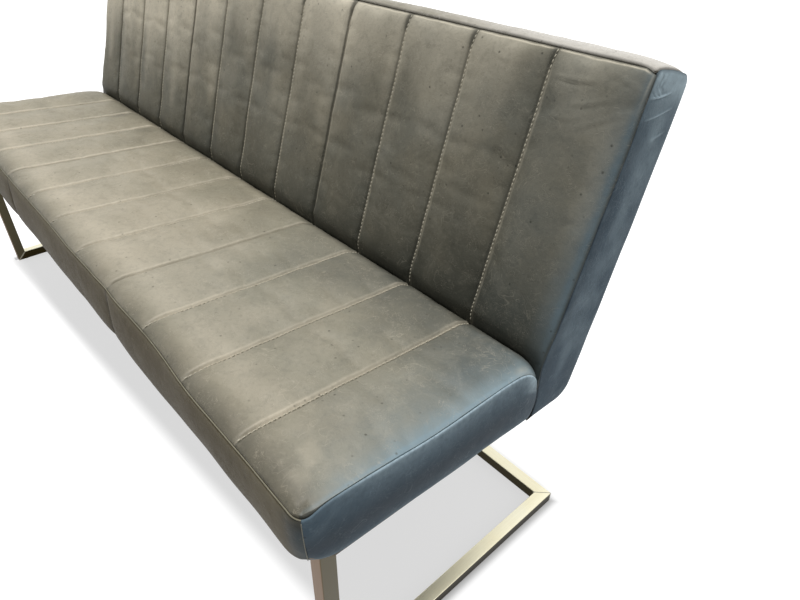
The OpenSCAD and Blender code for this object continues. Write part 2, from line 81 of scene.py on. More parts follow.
def on_seat(x, v, w):
    y = FRONT_Y + v * math.cos(TILT) + w * math.sin(TILT)
    z = SEAT_H - v * math.sin(TILT) + w * math.cos(TILT)
    return np.stack(np.broadcast_arrays(x, y, z), axis=-1) / 1000


CREASE_Y = FRONT_Y + SEAT_DEPTH * math.cos(TILT)
CREASE_Z = SEAT_H - SEAT_DEPTH * math.sin(TILT)


def on_back(x, n, s):
    y = CREASE_Y + n * math.cos(RAKE) + s * math.sin(RAKE)
    z = CREASE_Z + s * math.cos(RAKE) - n * math.sin(RAKE)
    return np.stack(np.broadcast_arrays(x, y, z), axis=-1) / 1000


def panel_ends(i):
    """Where panel number i, counted from the left, starts and ends along the sofa."""
    return -HALF + i * PANEL, -HALF + (i + 1) * PANEL


print("crease between seat and back at y %.1f, z %.1f mm" % (CREASE_Y, CREASE_Z))

# %% [markdown]
# ## The camera
# The camera was solved from the seams and tube edges in the photograph. It looks down by 35.6
# degrees from beside the right end, and it is set first, so that each piece can be judged in
# the picture as it is made. Its focal length is given as a share of the picture's width.

# %% Set the camera
EYE = (1.258753, -0.5233, 1.096262)
TURN, TIP, ROLL = (math.radians(angle) for angle in (47.3, 35.6, 1.3))
FOCAL_SHARE, SENSOR = 601.3 / 800, 36


def begin(name, operator, **settings):
    """Adds a primitive, a camera or a lamp while nothing else is selected, and names it."""
    bpy.ops.object.select_all(action="DESELECT")
    operator(**settings)
    piece = bpy.context.object
    piece.name = piece.data.name = name
    return piece


camera = begin("studio_camera", bpy.ops.object.camera_add, location=EYE)
forward = Vector((-math.sin(TURN) * math.cos(TIP), math.cos(TURN) * math.cos(TIP), -math.sin(TIP)))
level = Vector((math.cos(TURN), math.sin(TURN), 0))
above = level.cross(forward)
right = level * math.cos(ROLL) + above * math.sin(ROLL)
up = above * math.cos(ROLL) - level * math.sin(ROLL)
camera.rotation_euler = Matrix((right, up, -forward)).transposed().to_euler()
camera.data.sensor_width = SENSOR
camera.data.lens = FOCAL_SHARE * SENSOR
bpy.context.scene.camera = camera
print("lens %.2f mm" % camera.data.lens)

# %% [markdown]
# ## Small helpers for shaping
# A leather piece starts as a grid primitive, with as many rows and columns as its seams need.
# Its points are then moved to their places in code, as a sculptor would push them. Subdivision
# smooths it, and Solidify or an extruded rim makes it a closed piece.


# %% Helpers that read, move and edit a mesh
def points_of(piece):
    co = np.empty(len(piece.data.vertices) * 3, np.float32)
    piece.data.vertices.foreach_get("co", co)
    return co.reshape(-1, 3).astype(float)


def move_points(piece, points):
    piece.data.vertices.foreach_set("co", points.astype(np.float32).ravel())
    piece.data.update()


def use(piece):
    bpy.ops.object.select_all(action="DESELECT")
    piece.select_set(True)
    bpy.context.view_layer.objects.active = piece


def edit_all(piece, operator, **settings):
    """Runs a mesh operator in edit mode, with the whole piece selected."""
    use(piece)
    bpy.ops.object.mode_set(mode="EDIT")
    bpy.ops.mesh.select_all(action="SELECT")
    operator(**settings)
    bpy.ops.object.mode_set(mode="OBJECT")


def note(piece, name, values):
    """Keeps one number for each point, for a material to read."""
    attribute = piece.data.attributes.get(name) or piece.data.attributes.new(name, "FLOAT", "POINT")
    attribute.data.foreach_set("value", np.full(len(piece.data.vertices), values, np.float32))


# %% Helpers that start a piece
def lay_grid(name, columns, rows):
    """A grid primitive, with the column and the row of each of its points."""
    wide, long = len(columns) - 1, len(rows) - 1
    piece = begin(name, bpy.ops.mesh.primitive_grid_add, x_subdivisions=wide, y_subdivisions=long, size=1)
    co = points_of(piece) + 0.5
    i = np.rint(co[:, 0] * wide).astype(int)
    j = np.rint(co[:, 1] * long).astype(int)
    return piece, np.asarray(columns, float)[i], np.asarray(rows, float)[j]


def lay_cube(name, cuts=0):
    """A cube primitive, cut up evenly, with each point's place in it from -1 to 1 on each axis."""
    piece = begin(name, bpy.ops.mesh.primitive_cube_add, size=2)
    if cuts:
        edit_all(piece, bpy.ops.mesh.subdivide, number_cuts=cuts)
    return (piece, *points_of(piece).T)


# %% Helpers that finish a piece
def finish_with(piece, kind, **settings):
    """Adds a modifier and applies it."""
    use(piece)
    modifier = piece.modifiers.new(kind.title(), kind)
    for key, value in settings.items():
        setattr(modifier, key, value)
    bpy.ops.object.modifier_apply(modifier=modifier.name)


def subdivide(piece, levels=1):
    finish_with(piece, "SUBSURF", levels=levels, render_levels=levels, boundary_smooth="PRESERVE_CORNERS")


def face_towards(piece, direction):
    """Turns the faces of an open sheet over if they look away from a direction."""
    total = sum((p.normal * p.area for p in piece.data.polygons), Vector())
    if total.dot(Vector(direction)) < 0:
        edit_all(piece, bpy.ops.mesh.flip_normals)


def smooth(piece, angle=50):
    use(piece)
    bpy.ops.object.shade_smooth_by_angle(angle=math.radians(angle))


def thicken(piece, thickness):
    """Gives an open sheet the thickness of its hide or cloth, in metres, on its inner side."""
    finish_with(piece, "SOLIDIFY", thickness=thickness, offset=-1)
    smooth(piece)


# %% [markdown]
# ## Shapes that several pieces share
# Leather is never quite even, so slow random hills and a few sharp folds are added to each
# form. The hills come from a seeded grid of numbers, so they are the same in every run.


# %% Hills, steps and bumps
def hills(x, y, size, seed):
    """Smooth random heights from -1 to 1, with hills about size wide."""
    table = np.random.default_rng(seed).uniform(-1, 1, (64, 64))
    x, y = np.broadcast_arrays(np.asarray(x, float) / size, np.asarray(y, float) / size)
    i, j = np.floor(x).astype(int), np.floor(y).astype(int)
    a, b = x - i, y - j
    a, b = a * a * (3 - 2 * a), b * b * (3 - 2 * b)
    at = lambda di, dj: table[(i + di) % 64, (j + dj) % 64]
    return (at(0, 0) * (1 - a) + at(1, 0) * a) * (1 - b) + (at(0, 1) * (1 - a) + at(1, 1) * a) * b


def step(x, low, high):
    """Rises softly from 0 at low to 1 at high."""
    t = np.clip((np.asarray(x, float) - low) / (high - low), 0, 1)
    return t * t * (3 - 2 * t)


def bump(x, centre, width):
    """1 at the centre, falling to nothing about twice the width away."""
    return np.exp(-(((x - centre) / width) ** 2))


def rolled(d, roll):
    """Share of the full height at distance d inside an edge that rolls over."""
    return np.sqrt(np.clip(1 - (1 - np.clip(d, 0, roll) / roll) ** 2, 0, 1))


def creased(d, roll):
    """Share of the full height at distance d from a crease that the hide dives into."""
    return np.sin(np.pi / 2 * np.clip(d / roll, 0, 1))


# %% Folds, seams and channels
def fold(x, y, start, end, width, height):
    """A fold along a line from start to end: a ridge with a fine valley on one side."""
    (x0, y0), (x1, y1) = start, end
    run = math.hypot(x1 - x0, y1 - y0)
    ux, uy = (x1 - x0) / run, (y1 - y0) / run
    along = ((x - x0) * ux + (y - y0) * uy) / run
    across = (x - x0) * -uy + (y - y0) * ux
    across = across + width * np.sin(along * 3.1)
    fade = np.clip(4 * along * (1 - along), 0, 1) ** 0.7
    return height * fade * (bump(across, 0, width) - 0.8 * bump(across, -width * 1.3, width * 0.7))


def off_seam(x):
    """Distance to the nearest seam, that seam's number from the left, whether it lies within the
    sofa, and whether two panels are joined there."""
    k = np.rint((x + HALF) / PITCH)
    return x + HALF - k * PITCH, k.astype(int), (k > 0) & (k < 12), k % 4 == 0


def channels(x, crown, dip=6.0):
    """Height of the channels across the sofa, full in the middle and lower at the seams."""
    t = (x + HALF) / PITCH
    return crown - dip * np.abs(2 * (t - np.floor(t)) - 1) ** 2.5


def seam_groove(x, along, depth):
    """The narrow valley that the quilting thread pulls, with puckers beside it."""
    off, k, inner, joined = off_seam(x)
    pull = depth * (1 + 0.25 * hills(along, k * 37.0, 22, 5))
    valley = -pull * np.where(joined, 1.25, 1.0) * bump(off, 0, np.where(joined, 2.4, 3.0))
    lip = 0.9 * bump(off, -5.0, 2.4)
    gather = 0.35 * hills(along + 9 * np.sign(off), k * 53.0, 9, 7) * bump(np.abs(off), 8, 7)
    return np.where(inner, valley + lip + gather, 0)


def bulge(x):
    """How far the front seam stands forward: the right panel is fuller at the front."""
    return 8.0 * step(x, 460, 640) - 2.0 * bump(x, 300, 40) + 1.2 * hills(x, 0, 110, 3)


def round_off(dx, dy, radius):
    """Moves the points of a square corner onto a round one. dx and dy run in from its edges."""
    near = (dx < radius) & (dy < radius)
    qx, qy = radius - dx, radius - dy
    longest, size = np.maximum(qx, qy), np.maximum(np.hypot(qx, qy), 1e-9)
    return np.where(near, radius - qx * longest / size, dx), np.where(near, radius - qy * longest / size, dy)


# %% [markdown]
# ## Cloth simulation for the padded panels
# Real quilted leather is a flat hide, held down by its seams and pushed up by foam. A cloth
# simulation does the same: the seams and edges are pinned, pressure lifts what lies between,
# and the cloth is a little larger than its place, so it puckers where it is held. Each point
# may only move a few millimetres, so the panel stays in the space that the CAD gives it.


# %% Blow a panel up between its seams
SIM_FRAMES = 20


def blow_up(piece, held, cap):
    """Runs the simulation with the held points pinned, and keeps its moves up to the cap in mm."""
    rest = points_of(piece)
    group = piece.vertex_groups.new(name="held")
    group.add([int(i) for i in np.nonzero(held)[0]], 1.0, "REPLACE")
    use(piece)
    cloth = piece.modifiers.new("Cloth", "CLOTH")
    cloth.settings.quality = 4
    cloth.settings.mass = 0.4
    cloth.settings.tension_stiffness = cloth.settings.compression_stiffness = 25
    cloth.settings.bending_stiffness = 5
    cloth.settings.use_pressure = True
    cloth.settings.uniform_pressure_force = 4
    cloth.settings.shrink_min = -0.005
    cloth.settings.vertex_group_mass = "held"
    cloth.settings.effector_weights.gravity = 0
    cloth.point_cache.frame_start = 1
    cloth.point_cache.frame_end = SIM_FRAMES
    for number in range(1, SIM_FRAMES + 1):
        bpy.context.scene.frame_set(number)
    bpy.ops.object.modifier_apply(modifier=cloth.name)
    bpy.context.scene.frame_set(1)
    piece.vertex_groups.clear()
    moved = points_of(piece) - rest
    size = np.linalg.norm(moved, axis=1, keepdims=True)
    move_points(piece, rest + moved * np.minimum(1, cap / 1000 / np.maximum(size, 1e-9)))
    print("%s: cloth moved up to %.1f mm, kept to %.1f mm" % (piece.name, size.max() * 1000, cap))


# %% [markdown]
# ## The three quilted seat panels
# Each panel is one hide, quilted into four channels. Its front rolls over to the welt, its rear
# dives into the crease, and its outer end rolls to the end seam. The columns of the grid stand
# close together beside the seams, where the leather turns sharply. In the formulas for height,
# wear, painted light and tone, places and widths are in millimetres, and strengths of wear and
# of painted light go from 0 to 1.

# %% Columns and rows of a quilted panel
SHARES = np.array([0, 0.008, 0.02, 0.04, 0.07, 0.11, 0.16, 0.22, 0.29, 0.36, 0.43, 0.5])
SHARES = np.concatenate([SHARES, 1 - SHARES[-2:0:-1]])


def panel_columns(i):
    """Places of the grid's columns: close together at the seams, and none too near the ends."""
    low, high = panel_ends(i)
    places = np.concatenate([low + (c + SHARES) * PITCH for c in range(4)] + [[high]])
    low = -END_X if i == 0 else low + 0.15
    high = END_X if i == 2 else high - 0.15
    inside = places[(places > low + 0.4) & (places < high - 0.4)]
    return np.concatenate([[low], inside, [high]])


def edge_rows(low, high, low_roll, high_roll, pitch=6.5):
    """Places of the grid's rows, close together where the two edges roll over."""
    first = low + low_roll * (1 - np.cos(np.linspace(0, np.pi / 2, 12)))
    last = high - high_roll * (1 - np.cos(np.linspace(0, np.pi / 2, 10)))
    middle = np.linspace(first[-1], last[-1], int((last[-1] - first[-1]) / pitch))[1:-1]
    return np.concatenate([first, middle, last[::-1]])


# %% Height of the seat and of its end seam
SEAT_FRONT, SEAT_REAR = 5.3, 433.7
FRONT_ROLL, REAR_ROLL, END_ROLL, PLAN_CORNER = 45, 34, 42, 22
SEAT_CROWN, SEAT_GROOVE, SEAT_SLACK, SEAT_CAP = 16, 2.8, 4, 6
END_SEAM = np.array([
    [-20, -6], [0, -2], [6, 1], [13, 4.8], [22, 7.8], [36, 9.4], [57, 9.5], [100, 8.2], [136, 6.3],
    [175, 3.8], [205, 2.8], [240, 3.6], [280, 5.8], [309, 7.6], [349, 9.6], [375, 8.8], [388, 7.4],
    [400, 3.8], [410, -1.2], [418, -7.0], [425, -14.5], [430, -22.5], [433, -31], [434.5, -39]])


def end_height(v):
    """Height of the seat's end seam. It curls down at the rear, where the seat meets the back."""
    return np.interp(v, END_SEAM[:, 0], END_SEAM[:, 1])


def seat_height(x, v):
    middle = rolled(v - SEAT_FRONT, FRONT_ROLL) * creased(SEAT_REAR - v, REAR_ROLL) * channels(x, SEAT_CROWN)
    end = end_height(v)
    return end + (middle - end) * rolled(END_X - np.abs(x), END_ROLL)


def seat_detail(x, v):
    """The sewn valleys, and hills that are too low and slow for the simulation to give."""
    sewn = seam_groove(x, v, SEAT_GROOVE) * rolled(v - SEAT_FRONT, 30)
    return sewn + 0.9 * hills(x, v, 70, 21) + 0.35 * hills(x, v, 24, 22)


def place_seat(x, v, w):
    """Rounds the outer front corner in plan, and moves the front edge out to the full front seam."""
    dx, dv = round_off(END_X - np.abs(x), v - SEAT_FRONT, PLAN_CORNER)
    x, v = np.sign(x) * (END_X - dx), dv + SEAT_FRONT
    v = v - bulge(x) * (1 - step(v, 0, 110)) - 1.8 * (1 - step(v, 5, 20))
    return on_seat(x, v, w)


# %% Wear, painted light and shade, and tone of the seat
# Tone along the sofa, highest in the middle and lowest at the right end. It stands in for sheen, so it is
# partly a painted sheen.
TONE_X = [-900, -675, -375, -75, 225, 375, 675, 825, 900]
TONE_AND_SHEEN = [0.22, 0.24, 0.27, 0.46, 0.5, 0.3, 0.06, -0.18, -0.18]


def seat_wear_and_light(x, v):
    """Pale and dark marks, the broad tone and the blue light. The ridges beside the seams are pale,
    partly from wear and partly as a painted highlight, and the end rim and the front corner carry
    painted highlights. The seams, the front roll and the crease are darkened as painted shade."""
    off, k, inner, joined = off_seam(x)
    near = END_X - np.abs(x)
    far = step(-x, -250, 650)
    rub = 0.7 + 0.3 * hills(v, k * 71.0, 60, 11)
    crest = 0.45 + 0.55 * bump(v, 75, 70) - 0.35 * bump(v, 0, 22) + 0.25 * step(-x, -300, 300)
    ridge = bump(off, -4.6 - 1.2 * far, 3.2 + far) * crest * rub * (1.2 + 0.3 * far)
    ridge = ridge + bump(off, -0.6, 1.6) * np.where(joined, 0.15, 0.75) * (1 - 0.8 * far)
    rim = 0.35 * bump(v, 396, 16) * bump(near, 6, 7)
    corner = 0.5 * np.clip(hills(x, v, 13, 85), 0, 1) * bump(x, 838, 40) * bump(v, 45, 32)
    seam = bump(off, 2.4 + far, 1.9 + 1.2 * far) * (0.85 + 0.15 * bump(v, 20, 40))
    seam = seam * (0.75 + 0.25 * step(x, -300, 500) + 0.35 * far)
    front = 0.88 * bump(v, -4, 26) * (0.85 + 0.15 * hills(x, v, 40, 13))
    crease = step(v, 405, 430) * 0.6
    # Pale marks are wear and painted highlights; dark marks are painted shade.
    wear_and_highlight = np.clip(ridge * inner + rim + corner, 0, 1)
    dirt_and_shade = np.clip(seam * inner + front + crease, 0, 1)
    return wear_and_highlight, dirt_and_shade, seat_tone_and_light(x, v, off, inner), seat_blue_light(x, v, near)


def seat_tone_and_light(x, v, off, inner):
    """Broad tone, much of it painted light: a painted highlight on the crest behind the front roll,
    painted shade on the roll, towards the rear and on one side of each seam, painted light on the
    other side, and cloudy smudges.
    """
    roll = 0.25 + 0.15 * step(x, 200, 600) + 0.16 * bump(x, 675, 80)
    rear = 0.52 + 0.34 * step(x, 200, 600) + 0.14 * bump(x, 675, 90)
    beside = (0.12 * bump(off, -15, 12) - 0.16 * bump(off, 13, 12)) * (0.5 + 0.5 * bump(v, 30, 90))
    tone = np.interp(x, TONE_X, TONE_AND_SHEEN) - roll * bump(v, 6, 30) - rear * step(v, 220, 410)
    tone = tone + 0.3 * bump(v, 64, 30) + 0.12 * bump(x, 350, 110) * bump(v, 0, 26) + inner * beside
    smudge = 0.42 * np.clip(hills(x, v * 1.6, 85, 18), 0, 1) * step(v, 130, 280)
    return tone - smudge + 0.12 * hills(x, v, 45, 20)


def seat_blue_light(x, v, near):
    """Painted blue light towards the right end, strongest along the end seam as a painted highlight."""
    blue_share = 0.1 * step(x, 100, 450) + 0.1 * step(x, 740, 800)
    blue_share = blue_share + 0.2 * step(x, 805, 875) + 0.5 * step(x, 862, 892)
    blue_share = blue_share * step(v, 6, 60) * (0.6 + 0.4 * step(v, 40, 170))
    return blue_share + 0.4 * bump(near, 2.5, 3) * step(x, 0, 800)


# %% Close an open panel
def close_down(piece, depth):
    """Gives an open panel its rim and its flat underside."""
    use(piece)
    bpy.ops.object.mode_set(mode="EDIT")
    bpy.ops.mesh.select_mode(type="EDGE")
    bpy.ops.mesh.select_all(action="DESELECT")
    bpy.ops.mesh.select_non_manifold(extend=False)
    bpy.ops.mesh.extrude_region_move()
    bpy.ops.object.mode_set(mode="OBJECT")
    picked = np.array([v.select for v in piece.data.vertices])
    co = points_of(piece)
    co[picked, 2] = np.minimum(-depth, co[picked, 2] * 1000 - 3) / 1000
    move_points(piece, co)
    bpy.ops.object.mode_set(mode="EDIT")
    bpy.ops.mesh.edge_face_add()
    bpy.ops.mesh.select_all(action="SELECT")
    bpy.ops.mesh.normals_make_consistent(inside=False)
    bpy.ops.object.mode_set(mode="OBJECT")


# %% Make one quilted panel
def read_note(piece, name):
    return np.array([point.value for point in piece.data.attributes[name].data])


def make_panel(panel_name, i, rows, height, slack, cap, detail, wear_and_light, place):
    """Lays, blows up, details, closes and places one quilted panel. It starts lower than its height
    by the slack, and the simulation may move it by up to the cap."""
    piece, x, v = lay_grid(panel_name, panel_columns(i), rows)
    off = np.abs(off_seam(x)[0])
    border = (v <= rows[0]) | (v >= rows[-1]) | (x <= x.min()) | (x >= x.max())
    held = border | (off < 0.3) | (v <= 0)
    inside = np.minimum(v - max(rows[0], 0), rows[-1] - v)
    sunk = np.where(held, 0, slack * step(off, 0, 40) * step(inside, 0, 50))
    move_points(piece, np.stack([x, v, height(x, v) - sunk], axis=-1) / 1000)
    blow_up(piece, held, cap)
    note(piece, "x_mm", x)
    note(piece, "v_mm", v)
    subdivide(piece)
    flat = points_of(piece) * 1000
    x, v = read_note(piece, "x_mm"), read_note(piece, "v_mm")
    flat[:, 2] += detail(x, v)
    # These numbers carry wear and painted light and shade for the material.
    for name, values in zip(("wear_and_highlight", "dirt_and_shade", "tone", "blue_light"), wear_and_light(x, v)):
        note(piece, name, values)
    move_points(piece, flat / 1000)
    close_down(piece, 10)
    flat = points_of(piece) * 1000
    move_points(piece, place(flat[:, 0], flat[:, 1], flat[:, 2]))
    for spare in ("x_mm", "v_mm"):
        piece.data.attributes.remove(piece.data.attributes[spare])
    smooth(piece)
    print(panel_name, "has", len(piece.data.polygons), "faces")
    return piece


# %% Make the seat panels
seat_rows = edge_rows(SEAT_FRONT, SEAT_REAR, FRONT_ROLL, REAR_ROLL)
quilts = {}
for side, i in SIDES.items():
    piece = make_panel(
        "seat_quilt_" + side, i, seat_rows, seat_height, SEAT_SLACK, SEAT_CAP,
        seat_detail, seat_wear_and_light, place_seat)
    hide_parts("seat_panel_" + side)
    quilts["seat", side] = piece

# %% [markdown]
# ## The three quilted back panels
# They are made as the seat's are, with the same channel seams, so the seams of seat and back
# meet in the crease. Near the top corner of the right one the hide is gathered, and the folds
# that this makes are put in one by one. Weaker ones lie at the left end.

# %% Height of the back and its folds
BACK_TOP = BACK_H - 3.3
FOOT_ROLL, TOP_ROLL, POST_ROLL = 34, 40, 26
BACK_CROWN, BACK_GROOVE, BACK_SLACK, BACK_CAP = 15, 1.9, 2.5, 3
CORNER_PULL, CORNER_REACH = 6.5, 14
FOLDS = [
    ((762, 404), (842, 411), 3.0, 1.3), ((800, 372), (870, 398), 3.5, 1.0),
    ((820, 345), (888, 384), 3.0, 0.9), ((845, 425), (892, 414), 2.2, 1.1),
    ((770, 352), (830, 362), 4.0, 0.6), ((648, 414), (700, 408), 3.5, 0.7)]


def wrap(s):
    """How far the hide at an end goes back round the post."""
    return 3.0 * step(s, 20, 60) * (1 - step(s, 340, 400))


def back_height(x, s):
    """Below the crease the hide runs on, down the rear edge of the seat."""
    run = creased(s, FOOT_ROLL) * rolled(BACK_TOP - s, TOP_ROLL) * channels(x, BACK_CROWN)
    run = run * rolled(END_X - np.abs(x), POST_ROLL) - bump(np.abs(x), END_X, 5) * wrap(s)
    return run + np.minimum(s, 0) * math.tan(RAKE - TILT)


def back_detail(x, s):
    height = seam_groove(x, s, BACK_GROOVE) + 1.0 * hills(x, s, 80, 31) + 0.4 * hills(x, s, 26, 32)
    for line in FOLDS:
        height = height + fold(x, s, *line) + 0.6 * fold(-x, s, *line)
    return height


def corner_dip(x):
    """Share of the pull on the top corner, where the hide is gathered into the end seam."""
    return np.clip(1 - (END_X - np.abs(x)) / CORNER_REACH, 0, 1)


def place_back(x, s, w):
    """Pulls the top corners down, where the hide is gathered into the end seam."""
    lower = CORNER_PULL * corner_dip(x) * step(s, 370, BACK_H - 4)
    x = x + np.sign(x) * 2.9 * bump(np.abs(x), END_X, 12)
    return on_back(x, -w, s - lower)


# %% Wear, painted light and shade, and tone of the back
def back_wear_and_light(x, s):
    """Pale and dark marks, the broad tone and the blue light. The ridges beside the seams are pale,
    partly from wear and partly as a painted highlight, and the top and end rims carry painted
    highlights. The seams, the foot above the crease and the top and end edges are darkened as
    painted shade.
    """
    off, k, inner, joined = off_seam(x)
    near = END_X - np.abs(x)
    rub = 0.5 + 0.5 * hills(s, k * 71.0, 60, 17)
    ridge = bump(off, 4.2, 2.4) * (0.6 + 0.4 * rub) * (0.36 + 0.2 * step(-x, -300, 500))
    ridge = ridge + bump(off, 0, 1.4) * np.where(joined, 0.1, 0.35)
    rim = 0.9 * bump(s, 438, 1.3) * step(near, 2, 14) + 0.3 * step(s, 370, 425) * bump(near, 2.4, 1.1)
    seam = bump(off, -5, 7) * (0.28 + 0.3 * bump(s, 20, 90)) + 0.9 * bump(off, 0, 6) * step(s, 405, 428)
    seam = seam + np.where(joined, 0.8, 0.5) * bump(off, -2.2, 1.6)
    edges = 0.9 * (1 - step(s, 0, 90)) + bump(s, 440.5, 1.8) + bump(near, 0, 1.4)
    # Pale marks are wear and painted highlights; dark marks are painted shade.
    wear_and_highlight = np.clip(ridge * inner + rim, 0, 1)
    dirt_and_shade = np.clip(seam * inner + edges, 0, 1)
    return wear_and_highlight, dirt_and_shade, back_tone_and_light(x, s), back_blue_light(x, s, near)


def back_tone_and_light(x, s):
    """Broad tone: paler towards the top as painted light, paler towards the left, darker above the
    crease as painted shade, with cloudy streaks.
    """
    left = step(-x, -600, 600)
    high = step(s + 90 * step(-x, 100, 450), 260, 432) ** 1.3
    low = (0.86 - 0.16 * step(-x, -700, -400)) * (1 - step(s, 10, 245)) * (1 - 0.35 * left)
    tone = high * (0.33 + 0.4 * step(-x, -900, 0) + 0.1 * step(-x, 150, 600)) + 0.32 * left - low
    tone = tone + 0.12 * bump(x, 300, 120) - 0.1 * bump(x, 0, 110) - 0.22 * bump(x, 740, 60)
    end = 0.2 * step(np.abs(x), 825, 885) * step(s, 60, 250) * (1 - step(s, 300, 400))
    corner = 0.2 * step(np.abs(x), 800, 880) * step(s, 340, 410)
    return tone + end - corner + 0.18 * hills(x, s * 0.2, 34, 19) + 0.1 * hills(x, s, 60, 23)


def back_blue_light(x, s, near):
    """Painted blue light along the right end, with a painted blue highlight at the end seam."""
    blue_share = 0.45 * step(x, 852, 893) ** 1.5 * (1 - 0.5 * step(s, 300, 420))
    return 0.12 * step(x, 735, 790) + blue_share + 0.5 * bump(near, 3, 5) * step(x, 0, 800)


# %% Make the back panels
below_crease = [-42, -30, -20, -12, -6]
back_rows = np.concatenate([below_crease, edge_rows(0, BACK_TOP, FOOT_ROLL, TOP_ROLL)])
for side, i in SIDES.items():
    piece = make_panel(
        "back_quilt_" + side, i, back_rows, back_height, BACK_SLACK, BACK_CAP,
        back_detail, back_wear_and_light, place_back)
    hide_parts("back_panel_" + side)
    quilts["back", side] = piece

for piece in quilts.values():
    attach(piece, "root")

# %% [markdown]
# ## The foam inside the seat
# Only a sliver of it could show, in the crease at the ends, where the leather curls down. So the
# foam block is made again with rounded edges and with its rear corners cut lower.

# %% Make the seat's foam
FOAM_END, FOAM_MIDDLE, FOAM_REACH = 888, 218, 212
FOAM_TOP, FOAM_BASE = -11.5, -57.6

foam, a, b, c = lay_cube("seat_core_foam", 31)
x = FOAM_END * np.sin(np.pi / 2 * np.clip(a, -1, 1))
v = FOAM_MIDDLE + FOAM_REACH * b
top = np.minimum(FOAM_TOP, end_height(v) - 16 + 60 * step(FOAM_END - np.abs(x), 0, 60))
move_points(foam, on_seat(x, v, FOAM_BASE + (top - FOAM_BASE) * (c + 1) / 2))
smooth(foam)
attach(foam, "root")
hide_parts("seat_foam")
print("foam:", len(foam.data.polygons), "faces")

# %% [markdown]
# ## The wooden front rail
# The bands turn round the seat's front corners on a radius, so the rail under them has its outer
# corners sawn round and eased below, and two housings for the tubes. It starts as a cube, cut
# up finely enough for its corners to be moved, and a boolean cuts the housings.

# %% Sizes of the rounded corner
CORNER = 24.0


def corner_rise(x, v):
    """Share of the full rise of the bottom edge, near an outer front corner."""
    return np.exp(-((np.maximum(HALF - 7 - np.abs(x), 0) / 22) ** 2) - (np.maximum(v, 0) / 24) ** 2)


# %% Make the front rail
RAIL_END, RAIL_FRONT, RAIL_W, RAIL_REACH = 896, 3, -82, 20
TUBE_X, TUBE_REACH, HOUSING_W, HOUSING_REACH = 879.5, 12.8, -106, 15

rail, a, b, c = lay_cube("seat_rail_front_wood", 39)
x = RAIL_END * np.sin(np.pi / 2 * np.clip(a, -1, 1))
dx, dv = round_off(RAIL_END - np.abs(x), RAIL_REACH * (b + 1), RAIL_REACH + 1)
x, v = np.sign(x) * (RAIL_END - dx), RAIL_FRONT + dv
w = RAIL_W + RAIL_REACH * c + 15 * np.minimum(1, 1.5 * corner_rise(x, v - 4)) * (1 - c) / 2
move_points(rail, on_seat(x, v, w))
for sign in ENDS.values():
    cutter, a, b, c = lay_cube("cutter")
    x = sign * (TUBE_X + TUBE_REACH * a)
    v = RAIL_FRONT + RAIL_REACH + 2 * RAIL_REACH * b
    move_points(cutter, on_seat(x, v, HOUSING_W + HOUSING_REACH * c))
    finish_with(rail, "BOOLEAN", object=cutter, operation="DIFFERENCE", solver="EXACT")
    bpy.data.objects.remove(cutter)
smooth(rail, 35)
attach(rail, "root")
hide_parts("seat_front_rail")
print("front rail:", len(rail.data.polygons), "faces")

# %% [markdown]
# ## The bands round the seat
# The front and the ends are flat strips of hide, sewn to the panels at the top and turned under
# the seat. In plan they follow one line with a rounded corner, so each band is a grid whose
# columns follow that line and whose rows follow its section.

# %% Plan of the rounded corner
FRONT_TURN = np.radians(np.linspace(-90, -45, 9)[1:])
END_TURN = np.radians(np.linspace(-45, 0, 9))


def turn_corner(sign, angles, radius=CORNER):
    """Points round a front corner in plan, drawn as at the right end, and the ways they face."""
    centre = np.array([HALF - CORNER, CORNER - bulge(sign * (HALF - CORNER))])
    facing = np.stack([np.cos(angles), np.sin(angles)], axis=1)
    return centre + radius * facing, facing


def join_end(line, arc, sign):
    """Adds a corner's points to the right end of a line, or in turn to its left end."""
    return np.concatenate([line, arc] if sign > 0 else [arc[::-1], line])


# %% Section of a seat band
BAND_H, HIDE = 108, 0.0024
TOP_EDGE = [(-2.6, 0), (-1.3, 0.3), (-0.35, 1.4), (0, 3)]
FACE = [(0, 3 + 98.5 * t) for t in np.linspace(0, 1, 12)[1:-1]]
LOWER_EDGE = [(0, 101.5), (-0.6, 104.8), (-2.2, 107.1), (-5, 108)]
UNDERSIDE = [(-9, 108), (-16, 108), (-24, 108), (-33, 108)]
OUT, DOWN = np.array(TOP_EDGE + FACE + LOWER_EDGE + UNDERSIDE).T
FACE_SHARE = np.clip((DOWN - 3) / 102, 0, 1)


def meeting(w):
    """How far the seat's end band swells back over the end band of the back, where they are sewn."""
    return 8.0 * bump(w, -68, 34)


def band_sheet(name, plan, outward, top, height, bow, wide, low):
    """A band from its plan line, outward directions, top edge and height. Its face bows out, its
    lower edge stands out and hangs by what the last three give, and by less at a corner."""
    piece, column, row = lay_grid(name, np.arange(len(plan)), np.arange(len(DOWN)))
    c, r = column.astype(int), row.astype(int)
    corner = corner_rise(*plan.T)
    bow, wide, low = (
        free * (1 - corner) + held * corner for free, held in ((bow, 2.5), (wide, -6), (low, -9)))
    down, face = DOWN[r] / BAND_H, FACE_SHARE[r]
    shift = bow[c] * np.sin(np.pi * face) ** 0.8 + wide[c] * face ** 2
    out = OUT[r] + shift * step(OUT[r], -26, -4)
    w = top[c] - down * height[c] - low[c] * step(down, 0.5, 1)
    back = bulge(plan[c, 0]) * face * (1 - step(plan[c, 1], 20, 110))
    x, v = plan[c].T + outward[c].T * out
    return piece, x, v + back, w, c, r


